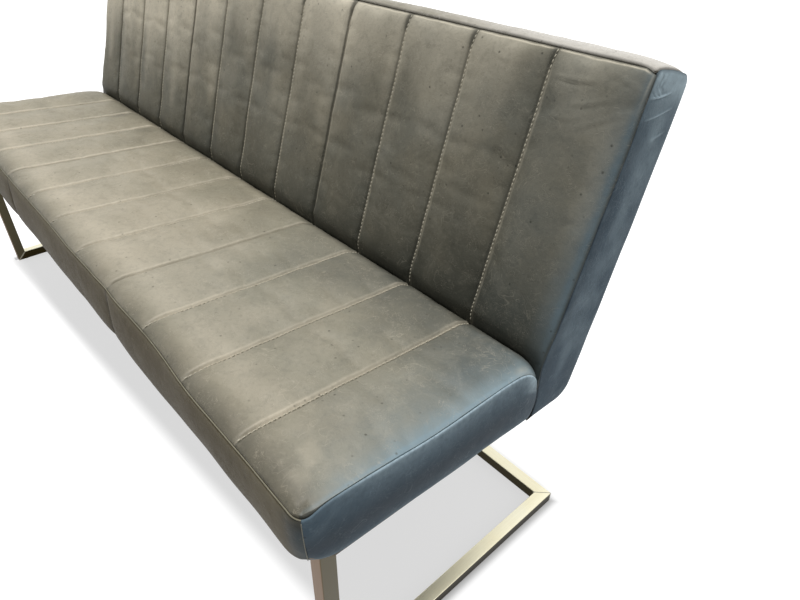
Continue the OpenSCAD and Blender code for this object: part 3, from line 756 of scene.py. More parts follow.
# %% Make the front bands
JOIN_PINCH = {300.0: 1.0, -300.0: 0.8, 150.0: 0.45}
CORNERS = {"left": (-1,), "middle": (), "right": (1,)}
bands = {}
for side, i in SIDES.items():
    low, high = panel_ends(i)
    x = np.linspace(max(low, -HALF + CORNER), min(high, HALF - CORNER), 76)
    plan = np.stack([x, -bulge(x)], axis=1)
    outward = np.tile([0.0, -1.0], (len(x), 1))
    for sign in CORNERS[side]:
        arc, facing = turn_corner(sign, FRONT_TURN)
        plan = join_end(plan, arc * [sign, 1], sign)
        outward = join_end(outward, facing * [sign, 1], sign)
    x, corner = plan[:, 0], corner_rise(*plan.T)
    pinch = np.clip(sum(strength * bump(x, at, 22) for at, strength in JOIN_PINCH.items()), 0, 1)
    seam = bump(x, 300, 4) + bump(x, -300, 4)
    bow = (4.5 + 0.8 * hills(x, 0, 130, 41)) * (1 - 0.6 * pinch) - 2.0 * seam
    wide = 1.2 * hills(x, 9, 80, 43) - 1.2 * seam
    low = 2.6 * hills(x, 5, 95, 42) - 3.0 * pinch
    piece, px, pv, w, c, r = band_sheet(
        "front_leather_" + side, plan, outward, -2.4 - 0.8 * corner, np.full(len(x), SEAT_T - 2.4),
        bow, wide, low)
    face, corner = FACE_SHARE[r], corner[c]
    near_join = sum(0.9 * strength * bump(px, at, 30) for at, strength in JOIN_PINCH.items())
    crumple = near_join * hills(px + w * 0.3, w, 13, 44) + 0.5 * hills(px, w, 45, 45)
    pv = pv - crumple * np.sin(np.pi * face)
    # The band's notes paint light and shade. It is dark at the joins, darker on its lower half and round the
    # corner as painted shade, and its face is darker lower down and paler near the right end. Its edges are
    # pale, and the corner takes the painted blue light.
    dirt_and_shade = 0.9 * (seam[c] > 0.5) + 0.3 * step(face, 0.5, 1) + 0.8 * corner * bump(face, 0.05, 0.12)
    note(piece, "wear_and_highlight", 0.35 * np.exp(-face * 14) + 0.15 * bump(face, 1, 0.06))
    note(piece, "dirt_and_shade", np.clip(dirt_and_shade, 0, 1))
    note(piece, "tone", 0.34 * bump(px, 835, 75) - 0.4 * corner - 0.15 * face)
    note(piece, "blue_light", corner)
    move_points(piece, on_seat(px, pv, w))
    bands["front", side] = piece
    face_towards(piece, (0, -1, 0))
    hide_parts("front_band_" + side)

# %% Make the end bands of the seat
CURL, CURL_RUN = 380, 53.6

for side, sign in ENDS.items():
    arc, facing = turn_corner(sign, END_TURN)
    rear = CURL + CURL_RUN * np.sin(np.linspace(0, np.pi / 2, 16))
    v = np.concatenate([np.linspace(arc[-1, 1], CURL, 50)[1:], rear[1:]])
    plan = np.concatenate([arc, np.stack([np.full_like(v, HALF), v], axis=1)])
    outward = np.concatenate([facing, np.tile([1.0, 0.0], (len(v), 1))])
    v = plan[:, 1]
    top = end_height(v) - 1.0
    bow = (3.6 + 0.8 * hills(v, 3, 90, 51)) * (1 - 0.7 * step(v, 400, 434)) * (0.4 + 0.6 * step(v, -8, 30))
    piece, px, pv, w, c, r = band_sheet(
        "seat_end_leather_" + side, plan, outward, top, SEAT_T + top, bow,
        0.8 * hills(v, 9, 70, 52), 1.8 * hills(v, 5, 80, 53))
    face = FACE_SHARE[r]
    crumple = 0.6 * hills(pv, w, 30, 54) + 0.9 * bump(pv, 415, 25) * hills(pv, w, 11, 55)
    px = px + crumple * np.sin(np.pi * face) - 2.2 * step(pv, 424, 434)
    pv = pv + meeting(w) * step(pv, 405, 434)
    # Painted light and shade: pale highlights along the top and lower edges and at the rear, painted shade
    # across the middle of the face, and a painted dark line of shade along the rear seam.
    seam = (0.15 + 0.85 * step(pv, 0, 130)) * (0.4 * np.exp(-face * 5) + 0.35 * bump(DOWN[r], 0.6, 1.1))
    rear = 0.5 * bump(pv, 420, 18) * (face < 0.35)
    shade = 0.92 * bump(face, 0.62, 0.3) * (1 - 0.4 * step(pv, 330, 420))
    note(piece, "wear_and_highlight", np.clip(seam + rear + 0.2 * bump(face, 1, 0.08), 0, 1))
    note(piece, "dirt_and_shade", np.clip(shade + 0.9 * step(v[c], 428, 433), 0, 1))
    move_points(piece, on_seat(sign * px, pv, w))
    bands["end", side] = piece
    face_towards(piece, (sign, 0, 0))
    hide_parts("seat_side_band_" + side)

for piece in bands.values():
    subdivide(piece)
    thicken(piece, HIDE)
    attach(piece, "root")
print("seat bands:", sorted(piece.name for piece in bands.values()))

# %% [markdown]
# ## The welt and the corner seams
# A welt is a strip of hide folded over a thin cord and caught in the seam. A bevelled curve
# along the seam, made into a mesh, is the direct way to model it.


# %% Sweep a round strip along a line
def line_curve(name, points):
    """A curve that runs straight from point to point."""
    data = bpy.data.curves.new(name, "CURVE")
    data.dimensions = "3D"
    spline = data.splines.new("POLY")
    spline.points.add(len(points) - 1)
    for target, point in zip(spline.points, points):
        target.co = (*point, 1)
    curve = bpy.data.objects.new(name, data)
    bpy.context.scene.collection.objects.link(curve)
    return curve


def sweep(name, points, radius, resolution, wear_and_highlight):
    """A round strip of a radius in mm along a line, made a mesh."""
    piece = line_curve(name, points)
    piece.data.bevel_depth = radius / 1000
    piece.data.bevel_resolution = resolution
    piece.data.use_fill_caps = True
    use(piece)
    bpy.ops.object.convert(target="MESH")
    piece = bpy.context.object
    edit_all(piece, bpy.ops.mesh.remove_doubles, threshold=1e-6)
    edit_all(piece, bpy.ops.mesh.normals_make_consistent, inside=False)
    smooth(piece)
    note(piece, "wear_and_highlight", wear_and_highlight)
    note(piece, "dirt_and_shade", 0)
    return piece


# %% Make the front welt and the two corner pipings
x = np.linspace(-HALF + CORNER, HALF - CORNER, 420)
line = np.stack([x, 1.0 - bulge(x)], axis=1)
for sign in ENDS.values():
    arc, facing = turn_corner(sign, FRONT_TURN, CORNER - 1.0)
    line = join_end(line, arc * [sign, 1], sign)
x, v = line.T
w = 0.5 + 0.3 * hills(x, 0, 30, 61) + 0.5 * bump(np.abs(x), 300, 6)
w = w - 3.6 * step(np.abs(x), HALF - CORNER - 4, HALF - 7)
welt = sweep("welt_piping", on_seat(x, v, w), 0.85, 3, 0.2)
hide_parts("front_welt")
pipings = [welt]
for side, sign in ENDS.items():
    w = -8 - 78 * np.linspace(0, 1, 24)
    face = (-w - 5.4) / 102
    out = CORNER + 0.1 + 2.5 * np.sin(np.pi * face) ** 0.8 - 6 * face ** 2
    spots, facing = turn_corner(sign, np.full(len(w), -math.pi / 4), out[:, None])
    x, v = (spots * [sign, 1]).T
    piece = sweep("corner_piping_" + side, on_seat(x, v + bulge(x) * face, w), 0.6, 2, 0.3)
    # The corner piping takes the painted blue light.
    note(piece, "blue_light", 0.6)
    pipings.append(piece)
for piece in pipings:
    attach(piece, "root")
print("pipings:", [len(piece.data.polygons) for piece in pipings], "faces")

# %% [markdown]
# ## The covers of the back
# Seen from the end, the back is one outline: the face, a crowned top, a rounded rear edge, the
# rear, and a rounded edge to the underside. The top bands and the rear covers follow that line
# from end to end, and the two end bands fill it.


# %% The outline of the back
def corner_arc(before, corner, after, radius, count=7):
    """Points on the arc that rounds a corner between the points before and after it."""
    a, b = before - corner, after - corner
    a, b = a / np.linalg.norm(a), b / np.linalg.norm(b)
    half = math.acos(float(a @ b)) / 2
    centre = corner + (a + b) / np.linalg.norm(a + b) * radius / math.sin(half)
    reach = radius / math.tan(half)
    first, last = (math.atan2(*(corner + way * reach - centre)[::-1]) for way in (a, b))
    angles = first + np.linspace(0, 1, count) * ((last - first + math.pi) % (2 * math.pi) - math.pi)
    return centre + radius * np.stack([np.cos(angles), np.sin(angles)], axis=1)


TAPER = (TOP_DEPTH - BASE_DEPTH) / BACK_H
LEAN = RAKE - TILT
under_front = np.array([math.sin(LEAN) * SEAT_T, -math.cos(LEAN) * SEAT_T])
low_s = (-SEAT_T + BASE_DEPTH * math.sin(LEAN)) / (math.cos(LEAN) - TAPER * math.sin(LEAN))
base_rear = np.array([BASE_DEPTH + TAPER * low_s, low_s])
rear_top = np.array([TOP_DEPTH, BACK_H])
share = np.linspace(0, 0.82, 16)
crown = np.stack([TOP_DEPTH * share, BACK_H + TOP_CROWN * (1 - np.abs(2 * share - 1) ** 2.5)], axis=1)
top_arc = corner_arc(crown[-1], rear_top, base_rear, 14)
base_arc = corner_arc(rear_top, base_rear, under_front, 25, 9)
top_path = np.concatenate([
    [[1.4, BACK_H - 2.6], [0.2, BACK_H - 2]], crown, top_arc, [[TOP_DEPTH - TAPER * 3, BACK_H - 2.8]]])
rear_path = np.concatenate([
    [top_path[-1] - [0, 0.3]], np.linspace(top_path[-1] - [0, 3], base_arc[0], 34),
    base_arc[1:], np.linspace(base_arc[-1], under_front + [0.5, 0.12], 8)[1:]])
print("base of the back at depth %.1f, height %.1f mm" % tuple(base_rear))


def end_top(n):
    """Height of the back's end seam along the top, from its pulled-down front corner."""
    return BACK_H - 7 + 5.5 * (1 - np.exp(-n / 2)) + 6.5 * np.sin(np.pi / 2 * np.clip(n / 70, 0, 1))


def rear_swell(s):
    """How far the leather stands out from the flat rear."""
    return 4.5 * np.sin(np.pi * np.clip((s - base_rear[1]) / (BACK_H - base_rear[1]), 0, 1))


# %% Lay one cover along the outline
BACK_HIDE, COVER_COLUMNS = 0.0022, 66


def cover_sheet(name, i, path, swell):
    """A cover of the back from panel i's one end to its other, along a path in the end outline."""
    low, high = panel_ends(i)
    low = -END_X if i == 0 else low + 0.1
    high = END_X if i == 2 else high - 0.1
    close = np.array([1, 2.5, 5])
    xs = np.unique(np.concatenate([np.linspace(low, high, COVER_COLUMNS), low + close, high - close]))
    piece, x, row = lay_grid(name, xs, np.arange(len(path)))
    j = row.astype(int)
    direction = np.gradient(path, axis=0)
    direction = direction / np.linalg.norm(direction, axis=1, keepdims=True)
    outward = np.stack([-direction[:, 1], direction[:, 0]], axis=1)
    length = np.concatenate([[0], np.cumsum(np.linalg.norm(np.diff(path, axis=0), axis=1))])
    ends = np.minimum(length, length[-1] - length)[j]
    sides = np.minimum(x - low, high - x)
    out = swell(x, length[j]) * rolled(ends, 10) * rolled(sides, 14) - 1.6 * (1 - rolled(sides, 3.0))
    n, s = path[j].T
    # Dark lines at the seams. The top band's tone paints it pale near the right end as painted light, a
    # little darker near its front edge.
    seam = 0.9 * bump(sides, 0, 2.2) + 0.9 * bump(n, 0.4, 1.6) * (s > BACK_H - 4)
    pale = 1 - 0.3 * bump(n, 6, 9) - 0.75 * step(-x, -770, -450)
    wear_and_highlight = 0.7 * np.exp(-sides / 3) * hills(x, length[j], 30, 71) + 0.3 * np.exp(-ends / 4)
    note(piece, "wear_and_highlight", np.clip(wear_and_highlight, 0, 1))
    note(piece, "dirt_and_shade", seam)
    note(piece, "tone", np.where(s > BACK_H - 3, pale, 0))
    n, s = path[j].T + outward[j].T * out
    n = n + rear_swell(s) * step(n, 80, 95)
    lower = end_top(np.clip(n, 0, 90)) - np.interp(np.clip(n, 0, 80), crown[:, 0], crown[:, 1])
    far = step(n, 0, 14)
    near_end = corner_dip(x) * (1 - far) + (1 - rolled(END_X - np.abs(x), 55)) * far
    s = s + lower * near_end * np.where(n < 40, 1, step(s, BACK_H - 12, BACK_H + 3))
    move_points(piece, on_back(x, n, s))
    return piece


# %% Make the top bands and the rear covers
def top_swell(x, along):
    return 0.8 * hills(x, along, 60, 72) + 0.5 * hills(x, along, 18, 73)


def cover_swell(x, along):
    return 2.2 + 1.2 * hills(x, along, 120, 74) + 0.4 * hills(x, along, 30, 75)


covers = {}
for side, i in SIDES.items():
    piece = cover_sheet("top_leather_" + side, i, top_path, top_swell)
    face_towards(piece, (0, 0, 1))
    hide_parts("top_band_" + side)
    covers["top", side] = piece
    piece = cover_sheet("rear_leather_" + side, i, rear_path, cover_swell)
    face_towards(piece, (0, 1, 0))
    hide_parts("rear_cover_" + side)
    covers["rear", side] = piece

# %% Points of an end band of the back
ACROSS = np.concatenate([[0, 0.012, 0.03, 0.05], np.linspace(0.075, 0.925, 44), [0.95, 0.97, 0.988, 1]])
UP = np.concatenate([
    [0, 0.003, 0.008, 0.018], np.linspace(0.03, 0.84, 70)[:-1], np.linspace(0.84, 0.96, 54),
    [0.97, 0.982, 0.992, 0.997, 1]])
END_FOLDS = [
    ((4, 436), (34, 421), 1.3, 1.3), ((3, 427), (40, 408), 1.1, 1.0), ((4, 406), (58, 421), 1.5, 1.6),
    ((10, 378), (78, 403), 1.4, 1.1), ((6, 438), (44, 433), 1.1, 1.2), ((3, 418), (26, 409), 1.2, 1.0),
    ((30, 352), (84, 372), 2.4, 0.6)]


def fill_outline(a, b):
    """Depth and height in the end outline of the points at shares a across and b up, with the
    distance to the nearest edge and to the nearest of the front and rear edges."""
    s_front = under_front[1] + (BACK_H - under_front[1]) * b
    s_rear = base_rear[1] + (BACK_H - base_rear[1]) * b
    under = -s_front * math.tan(LEAN) + meeting(s_front * math.cos(LEAN))
    n_front = np.where(s_front < 0, under, wrap(s_front))
    wide = BASE_DEPTH + TAPER * s_rear + rear_swell(s_rear) - n_front
    tall = BACK_H - base_rear[1]
    above, below = tall * (1 - b), tall * b
    lower = b < 0.5
    rear_gap, top_gap = round_off(wide * (1 - a), above, 16)
    rear_gap, low_gap = round_off(rear_gap, np.where(lower, below, 1e3), 25)
    in_from_front = 1 - rear_gap / wide
    n = n_front + wide * in_from_front
    s = s_front + (s_rear - s_front) * in_from_front
    s = s + np.where(b > 0.5, above - top_gap, np.where(lower, low_gap - below, 0))
    s = s + (end_top(np.maximum(n, 0)) - BACK_H) * step(s, 330, 430)
    along = np.minimum(wide * a, wide * (1 - a))
    return n, s, np.minimum(along, np.minimum(above, below)), along


# %% Make the end bands of the back
for side, sign in ENDS.items():
    piece, a, b = lay_grid("back_end_leather_" + side, ACROSS, UP)
    n, s, inside, along = fill_outline(a, b)
    swell = 2.2 * rolled(inside, 30) - 0.2 * (1 - rolled(inside, 3.0)) + 0.7 * hills(n, s, 45, 81)
    gather = 0.9 * hills(n * 0.5 + s * 0.4, s, 8, 82) * step(inside, 0, 8)
    gather = gather * bump(s, 424, 16) * bump(n, 18, 34)
    for line in END_FOLDS:
        gather = gather + fold(n, s, *line)
    # Painted light and shade: the top of the band and its rear rim are paler as painted highlights, the folds
    # are drawn in painted highlight and shade, its edges and a strip near the front are darkened as painted
    # shade, and its tone is paler towards the top and darker at the bottom.
    wear_and_highlight = 0.9 * bump(s, 434, 17) * (0.55 + 0.5 * hills(n, s, 9, 83)) + 0.75 * np.clip(gather - 0.05, 0, 1)
    dirt_and_shade = 0.35 * bump(n, 12, 14) * (1 - step(s, 330, 420)) + bump(inside, 0, 2.0)
    tone = 0.02 + 0.18 * step(s, 230, 400) + 0.5 * step(s, 398, 432) + 0.14 * bump(n, 62, 34)
    note(piece, "wear_and_highlight", np.clip(wear_and_highlight + 0.25 * bump(along, 3.4, 2.4) * (a > 0.5), 0, 1))
    note(piece, "dirt_and_shade", np.clip(dirt_and_shade + 0.6 * np.clip(-gather - 0.1, 0, 1), 0, 1))
    note(piece, "tone", tone - 0.2 * (1 - step(s, -60, 60)) + 0.16 * hills(n, s, 28, 84))
    move_points(piece, on_back(sign * (HALF - 0.4 + swell * 0.9 + gather), n, s))
    face_towards(piece, (sign, 0, 0))
    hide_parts("back_side_band_" + side)
    covers["end", side] = piece

for (part, side), piece in covers.items():
    subdivide(piece)
    thicken(piece, BACK_HIDE)
    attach(piece, "root")
print("covers of the back:", len(covers))

# %% [markdown]
# ## The quilting stitches
# The channels are held by one line of thick cream thread that lies in each valley. One pair of
# stitches, leaning a little to either side, is modelled, repeated by an Array modifier and bent
# along the seam by a Curve modifier. The seam's line is found by casting rays at the finished
# panel, so the thread lies on the leather. The joins between panels have no visible thread.

# %% Find a seam's line, and lay stitches along it
STITCH, STITCH_HALF, THREAD, LIFTED = 7.5, 2.7, (1.1, 0.95), 0.0007
LEANING = np.array([[0.995, 0.1, 0], [-0.1, 0.995, 0], [0, 0, 1]])
RUNS = {"seat": (8, 428), "back": (6, 434)}


def seam_line(piece, place, x, start, end):
    """Points just above a panel's surface along one seam."""
    line = []
    for t in np.linspace(start, end, 120):
        above, below = (Vector(place(np.array([x]), np.array([t]), np.array([h]))[0]) for h in (45.0, -9.0))
        down = below - above
        hit, spot, normal, _ = piece.ray_cast(above, down.normalized(), distance=down.length)
        if hit:
            line.append(spot - down.normalized() * LIFTED)
    return line


def stitch_row(name, line):
    """A row of stitches along a line: one pair, repeated and bent."""
    piece = begin(name, bpy.ops.mesh.primitive_uv_sphere_add, segments=6, ring_count=4, radius=1)
    one = points_of(piece)[:, [2, 0, 1]] * [STITCH_HALF, *THREAD]
    one[:, 2] = one[:, 2] + 0.35 * (1 - (one[:, 0] / STITCH_HALF) ** 2)
    move_points(piece, (one @ LEANING + [STITCH / 2, 0.15, 0.2]) / 1000)
    use(piece)
    bpy.ops.object.mode_set(mode="EDIT")
    bpy.ops.mesh.select_all(action="SELECT")
    bpy.ops.mesh.normals_make_consistent(inside=False)
    bpy.ops.mesh.duplicate_move(TRANSFORM_OT_translate={"value": (STITCH / 1000, -0.0003, 0)})
    bpy.ops.object.mode_set(mode="OBJECT")
    path = line_curve("seam", line)
    finish_with(piece, "ARRAY", fit_type="FIT_CURVE", curve=path, use_relative_offset=False,
                use_constant_offset=True, constant_offset_displace=(2 * STITCH / 1000, 0, 0))
    finish_with(piece, "CURVE", object=path, deform_axis="POS_X")
    bpy.data.objects.remove(path)
    return piece


# %% Sew every panel
threads = []
for (part, side), piece in quilts.items():
    place = place_seat if part == "seat" else place_back
    rows = []
    for k in (1, 2, 3):
        x = panel_ends(SIDES[side])[0] + k * PITCH
        line = seam_line(piece, place, x, *RUNS[part])
        rows.append(stitch_row("%s_stitches_%s" % (part, side), line))
    use(rows[0])
    for row in rows:
        row.select_set(True)
    bpy.ops.object.join()
    thread = bpy.context.object
    thread.name = "%s_stitches_%s" % (part, side)
    bpy.ops.object.shade_smooth()
    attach(thread, "root")
    threads.append(thread)
print("stitch rows:", 3 * len(threads), "faces:", sum(len(piece.data.polygons) for piece in threads))

# %% [markdown]
# ## The dust cover
# Under the seat a thin black cloth is stretched and stapled over the webbing. It sags a little
# between its edges.

# %% Make the dust cover
CLOTH_END, CLOTH_FRONT, CLOTH_REAR, CLOTH_W, CLOTH = 866, 33.6, 433.4, -102.3, 0.0006

dust_cloth, x, v = lay_grid(
    "dust_cloth", np.linspace(-CLOTH_END, CLOTH_END, 90), np.linspace(CLOTH_FRONT, CLOTH_REAR, 30))
inside = np.minimum(CLOTH_END - np.abs(x), np.minimum(v - CLOTH_FRONT, CLOTH_REAR - v))
sag = 2.2 * step(inside, 0, 120) + 0.35 * hills(x, v, 30, 91) * step(inside, 0, 20)
move_points(dust_cloth, on_seat(x, v, CLOTH_W - sag))
face_towards(dust_cloth, (0, 0, -1))
thicken(dust_cloth, CLOTH)
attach(dust_cloth, "root")
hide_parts("dust_cover")
print("dust cover sags up to %.1f mm" % sag.max())

# %% [markdown]
# ## Materials: one function for colours, one for nodes
# Colours are written as the hex values that a picture shows, and turned to the linear values
# that the shader works in. Each material is built from noise, cell patterns and the numbers
# kept on the points, at sizes taken from the real thing. A pattern's scale is how many of it
# go to a metre. Colours are laid over one another as a painter would, each through its pattern.


# %% Colour and node helpers
def linear(code):
    values = [int(code[i:i + 2], 16) / 255 for i in (1, 3, 5)]
    return tuple(c / 12.92 if c <= 0.04045 else ((c + 0.055) / 1.055) ** 2.4 for c in values) + (1.0,)


def connect(tree, node, inputs):
    """Links a socket, or sets a number or a colour, at each input that is named."""
    for key, value in inputs.items():
        if isinstance(value, bpy.types.NodeSocket):
            tree.links.new(value, node.inputs[key])
        else:
            node.inputs[key].default_value = value


def add(tree, kind, inputs=None, **settings):
    """Adds a node with its settings and links, and gives its outputs."""
    node = tree.nodes.new("ShaderNode" + kind)
    for key, value in settings.items():
        setattr(node, key, value)
    connect(tree, node, inputs or {})
    return node.outputs


def paint(tree, colour, layers):
    """Lays colours over a first one. Each grows as its pattern goes from low to high, up to its
    strength. It is a hex value, or the socket of a colour that was painted before."""
    colour = linear(colour)
    for over, pattern, low, high, strength in layers:
        share = add(tree, "MapRange", {
            "Value": pattern, "From Min": low, "From Max": high, "To Max": strength})[0]
        over = linear(over) if isinstance(over, str) else over
        colour = add(tree, "Mix", {0: share, 6: colour, 7: over}, data_type="RGBA")[2]
    return colour


def new_material(name):
    material = bpy.data.materials.new(name)
    material.use_nodes = True
    tree = material.node_tree
    return material, tree, tree.nodes["Principled BSDF"], add(tree, "TexCoord")["Object"]


def dress(piece, material):
    piece.data.materials.clear()
    piece.data.materials.append(material)


# %% [markdown]
# ## Waxed pull-up leather
# The hide is dyed through and waxed. Where it is pulled or rubbed it turns pale. The points'
# numbers steer its colour: they carry that wear, and painted light as well, namely painted
# highlights on ridges and rims, painted shade in seams, folds and creases, lit and shaded tones,
# and a painted blue light at the right end. Over that lie slow cloudy tones, small dark pits, fine
# pale scratches and a soft grain. Real grain is about 1 mm wide, which is too fine for the
# picture, so it is drawn at about 2 mm.

# %% Patterns of the leather: how many to a metre, detail, roughness and twist
PIT_SCALE, GRAIN_SCALE = 68.0, 480.0
LEATHER_NOISE = {
    "cloud": (9, 3, 0.55, 0.3),  # clouds of dye, about 110 mm
    "bloom": (17, 5, 0.65, 1.2),  # wax that has bloomed, about 60 mm
    "mottle": (42, 4, 0.6, 0.6),  # mottling, about 24 mm
    "swell": (60, 3, 0.6, 1.0),  # unevenness of the hide, about 17 mm
    "scuff": (85, 4, 0.6, 1.5),  # scuffs, about 12 mm
    "rub": (120, 2, 0.5, 0.0),  # broken edge of a rubbed place, about 8 mm
    "speck": (140, 4, 0.65, 0.8),  # dark specks, about 7 mm
    "long": (26, 1.5, 0.5, 1.6),  # lines of the long scratches
    "long_place": (15, 2, 0.5, 0.0),  # where they lie
    "short": (62, 1.0, 0.5, 2.4),  # lines of the short scratches
    "short_place": (33, 2, 0.5, 0.0),  # where they lie
}


# %% Leather
def leather(name, main, second, pale, dark, blue_light, roughness=0.6, gloss=0.2, marks=1.0):
    material, tree, shader, at = new_material(name)
    point = {}
    for key in ("tone", "wear_and_highlight", "dirt_and_shade", "blue_light"):
        point[key] = add(tree, "Attribute", attribute_name=key)["Fac"]
    noise = {}
    for key, (scale, detail, rough, twist) in LEATHER_NOISE.items():
        noise[key] = add(tree, "TexNoise", {
            "Vector": at, "Scale": scale, "Detail": detail, "Roughness": rough, "Distortion": twist})["Fac"]
    for key, pattern, low, high, least, most in (
            ("blue_light", "mottle", 0.3, 0.7, 0.72, 0.95), ("wear_and_highlight", "rub", 0.2, 0.6, 0.5, 0.9)):
        uneven = add(tree, "MapRange", {
            "Value": noise[pattern], "From Min": low, "From Max": high, "To Min": least, "To Max": most})[0]
        point[key] = add(tree, "Math", {0: point[key], 1: uneven}, operation="MULTIPLY")[0]
    pit, scratch = pits(tree, at, noise), scratches(tree, noise)
    # The point numbers lay painted light over the hide: lit and shaded tones, a painted blue light, painted
    # highlights beside the real wear, and painted shade.
    colour = paint(tree, main, (
        (second, noise["cloud"], 0.36, 0.66, 1.0),
        (pale, point["tone"], 0.0, 1.0, 0.8),
        (dark, point["tone"], 0.0, -1.0, 0.85),
        (dark, noise["mottle"], 0.5, 0.8, 0.22),
        (pale, noise["bloom"], 0.52, 0.8, 0.2 * marks),
        (dark, noise["speck"], 0.5, 0.72, 0.2),
        (pale, noise["scuff"], 0.54, 0.78, 0.16 * marks),
        (blue_light, point["blue_light"], 0.0, 1.0, 1.0),
        (pale, point["wear_and_highlight"], 0.0, 1.0, 1.0),
        (dark, point["dirt_and_shade"], 0.0, 1.282, 1.0),
        (dark, pit, 0.0, 1.0, 0.75),
        (pale, scratch, 0.0, 1.0, 0.26 * marks)))
    rough = add(tree, "MapRange", {
        "Value": noise["mottle"], "To Min": roughness - 0.07, "To Max": roughness + 0.1})[0]
    grain = add(tree, "TexVoronoi", {"Vector": at, "Scale": GRAIN_SCALE}, feature="SMOOTH_F1")["Distance"]
    height = 0.0
    for pattern, share in ((grain, 0.35), (noise["swell"], 1.5), (scratch, -0.5), (pit, -0.7)):
        height = add(tree, "Math", {0: pattern, 1: share, 2: height}, operation="MULTIPLY_ADD")[0]
    relief = add(tree, "Bump", {"Height": height, "Strength": 0.35, "Distance": 0.0012})[0]
    connect(tree, shader, {
        "Base Color": colour, "Roughness": rough, "Normal": relief, "IOR": 1.5, "Specular IOR Level": gloss})
    return material


def pits(tree, at, noise):
    """Small dark pits in some of the cells of a cell pattern, and only where the hide is mottled."""
    cells = add(tree, "TexVoronoi", {"Vector": at, "Scale": PIT_SCALE})
    chance = add(tree, "SeparateColor", {0: cells["Color"]})[0]
    pit = 1.0
    for pattern, low, high in (
            (cells["Distance"], 0.17, 0.05), (chance, 0.62, 0.72), (noise["mottle"], 0.35, 0.55)):
        share = add(tree, "MapRange", {"Value": pattern, "From Min": low, "From Max": high})[0]
        pit = add(tree, "Math", {0: pit, 1: share}, operation="MULTIPLY")[0]
    return pit


def scratches(tree, noise):
    """Fine wandering lines, where a twisted noise crosses its middle value, kept in some places."""
    scratch = 0.0
    for line, width, clear in (("long", 0.013, 0.62), ("short", 0.024, 0.6)):
        away = add(tree, "Math", {0: noise[line], 1: 0.5}, operation="SUBTRACT")[0]
        away = add(tree, "Math", {0: away}, operation="ABSOLUTE")[0]
        thin = add(tree, "MapRange", {"Value": away, "From Min": width, "From Max": 0.0})[0]
        some = add(tree, "MapRange", {"Value": noise[line + "_place"], "From Min": 0.5, "From Max": clear})[0]
        drawn = add(tree, "Math", {0: thin, 1: some}, operation="MULTIPLY")[0]
        scratch = add(tree, "Math", {0: scratch, 1: drawn}, operation="MAXIMUM")[0]
    return scratch


# %% Dress the leather pieces: main, second, pale, dark and blue light colours of each
# These are copies of one hide, coloured for how the light falls on each: the front band darker as painted
# shade, the end bands blue as a painted bluish light, and the top bands pale as a painted highlight.
leathers = {
    "seat": leather(
        "Waxed leather, quilted seat", "#958F7C", "#9C9480", "#D2C8B3", "#4C4A3F", "#8A9EA6", 0.5, 0.4),
    "back": leather(
        "Waxed leather, quilted back", "#747368", "#7D796A", "#EDE4CE", "#33342D", "#66777F", marks=0.4),
    "front": leather(
        "Waxed leather, front band, painted shade", "#453B25", "#4B422C", "#8F8770", "#2C271D", "#465156", 0.62, 0.15, 0.7),
    "end": leather(
        "Waxed leather, end bands, painted blue light", "#445866", "#4B5E6B", "#D2E8F2", "#222A32", "#44545F", 0.6, 0.15, 0.4),
    "top": leather("Waxed leather, top bands, painted highlight", "#9F9A8B", "#A59F8F", "#EFEBE4", "#4A463C", "#8A8F90"),
    "rear": leather("Waxed leather, rear covers", "#74756A", "#7D7A6C", "#B9B3A1", "#33352F", "#64747E"),
    "welt": leather("Waxed leather, welt", "#7C7867", "#85806E", "#B8B29C", "#4C4739", "#7F8688"),
}
for pieces in (quilts, bands, covers):
    for (part, side), piece in pieces.items():
        dress(piece, leathers[part])
for piece in pipings:
    dress(piece, leathers["welt"])
print("leathers:", len(leathers), "nodes in each:", len(leathers["seat"].node_tree.nodes))

# %% [markdown]
# ## Brushed brass-plated steel
# The tube is steel with a pale brass plating, brushed along its length and lacquered. Brushing
# leaves fine lines along the tube, so the noise is stretched a hundredfold that way. Each tube
# gets the lines along its own axis. A mitred corner shows as a thin dark line, with a painted
# pale highlight beside it. The reflection of the room is painted into the colour by the way a
# face points, so fronts and sides are painted darker than tops.

# %% Brass
BASE_X, BASE_REAR, LEG_FOOT = 0.892, 0.26353, -0.31147


def brass(name, stretch, front, side):
    """Brass brushed one way. Its front and its outer sides are painted darker, as a painted
    reflection of a darker part of the room, and its top is painted pale.
    """
    material, tree, shader, at = new_material(name)
    lines = add(tree, "Mapping", {"Vector": at, "Scale": stretch})[0]
    fine = add(tree, "TexNoise", {"Vector": lines, "Scale": 900.0, "Detail": 2.0})["Fac"]
    cloud = add(tree, "TexNoise", {"Vector": at, "Scale": 14.0, "Detail": 3.0})["Fac"]
    facing = add(tree, "SeparateXYZ", {0: add(tree, "NewGeometry")["Normal"]})
    sideways = add(tree, "Math", {0: facing[0]}, operation="ABSOLUTE")[0]
    mitre = mitre_distance(tree, at)
    # Tops are painted pale and fronts and sides dark, as a painted reflection of the room; the mitre's pale
    # edge is a painted highlight.
    top = paint(tree, "#FFFDE8", [("#FBF2CE", cloud, 0.0, 1.0, 1.0)])
    tone = paint(tree, front, (
        (side, sideways, 0.25, 0.85, 1.0),
        (top, facing[2], 0.25, 0.85, 1.0),
        ("#8F8058", fine, 0.35, 0.75, 0.07),
        ("#FBF6E4", mitre, 0.0028, 0.0014, 0.5),
        ("#4A4228", mitre, 0.0012, 0.0006, 0.9)))
    rough = add(tree, "MapRange", {"Value": fine, "To Min": 0.36, "To Max": 0.5})[0]
    relief = add(tree, "Bump", {"Height": fine, "Strength": 0.12, "Distance": 0.0003})[0]
    connect(tree, shader, {"Base Color": tone, "Roughness": rough, "Normal": relief, "Metallic": 1.0})
    return material


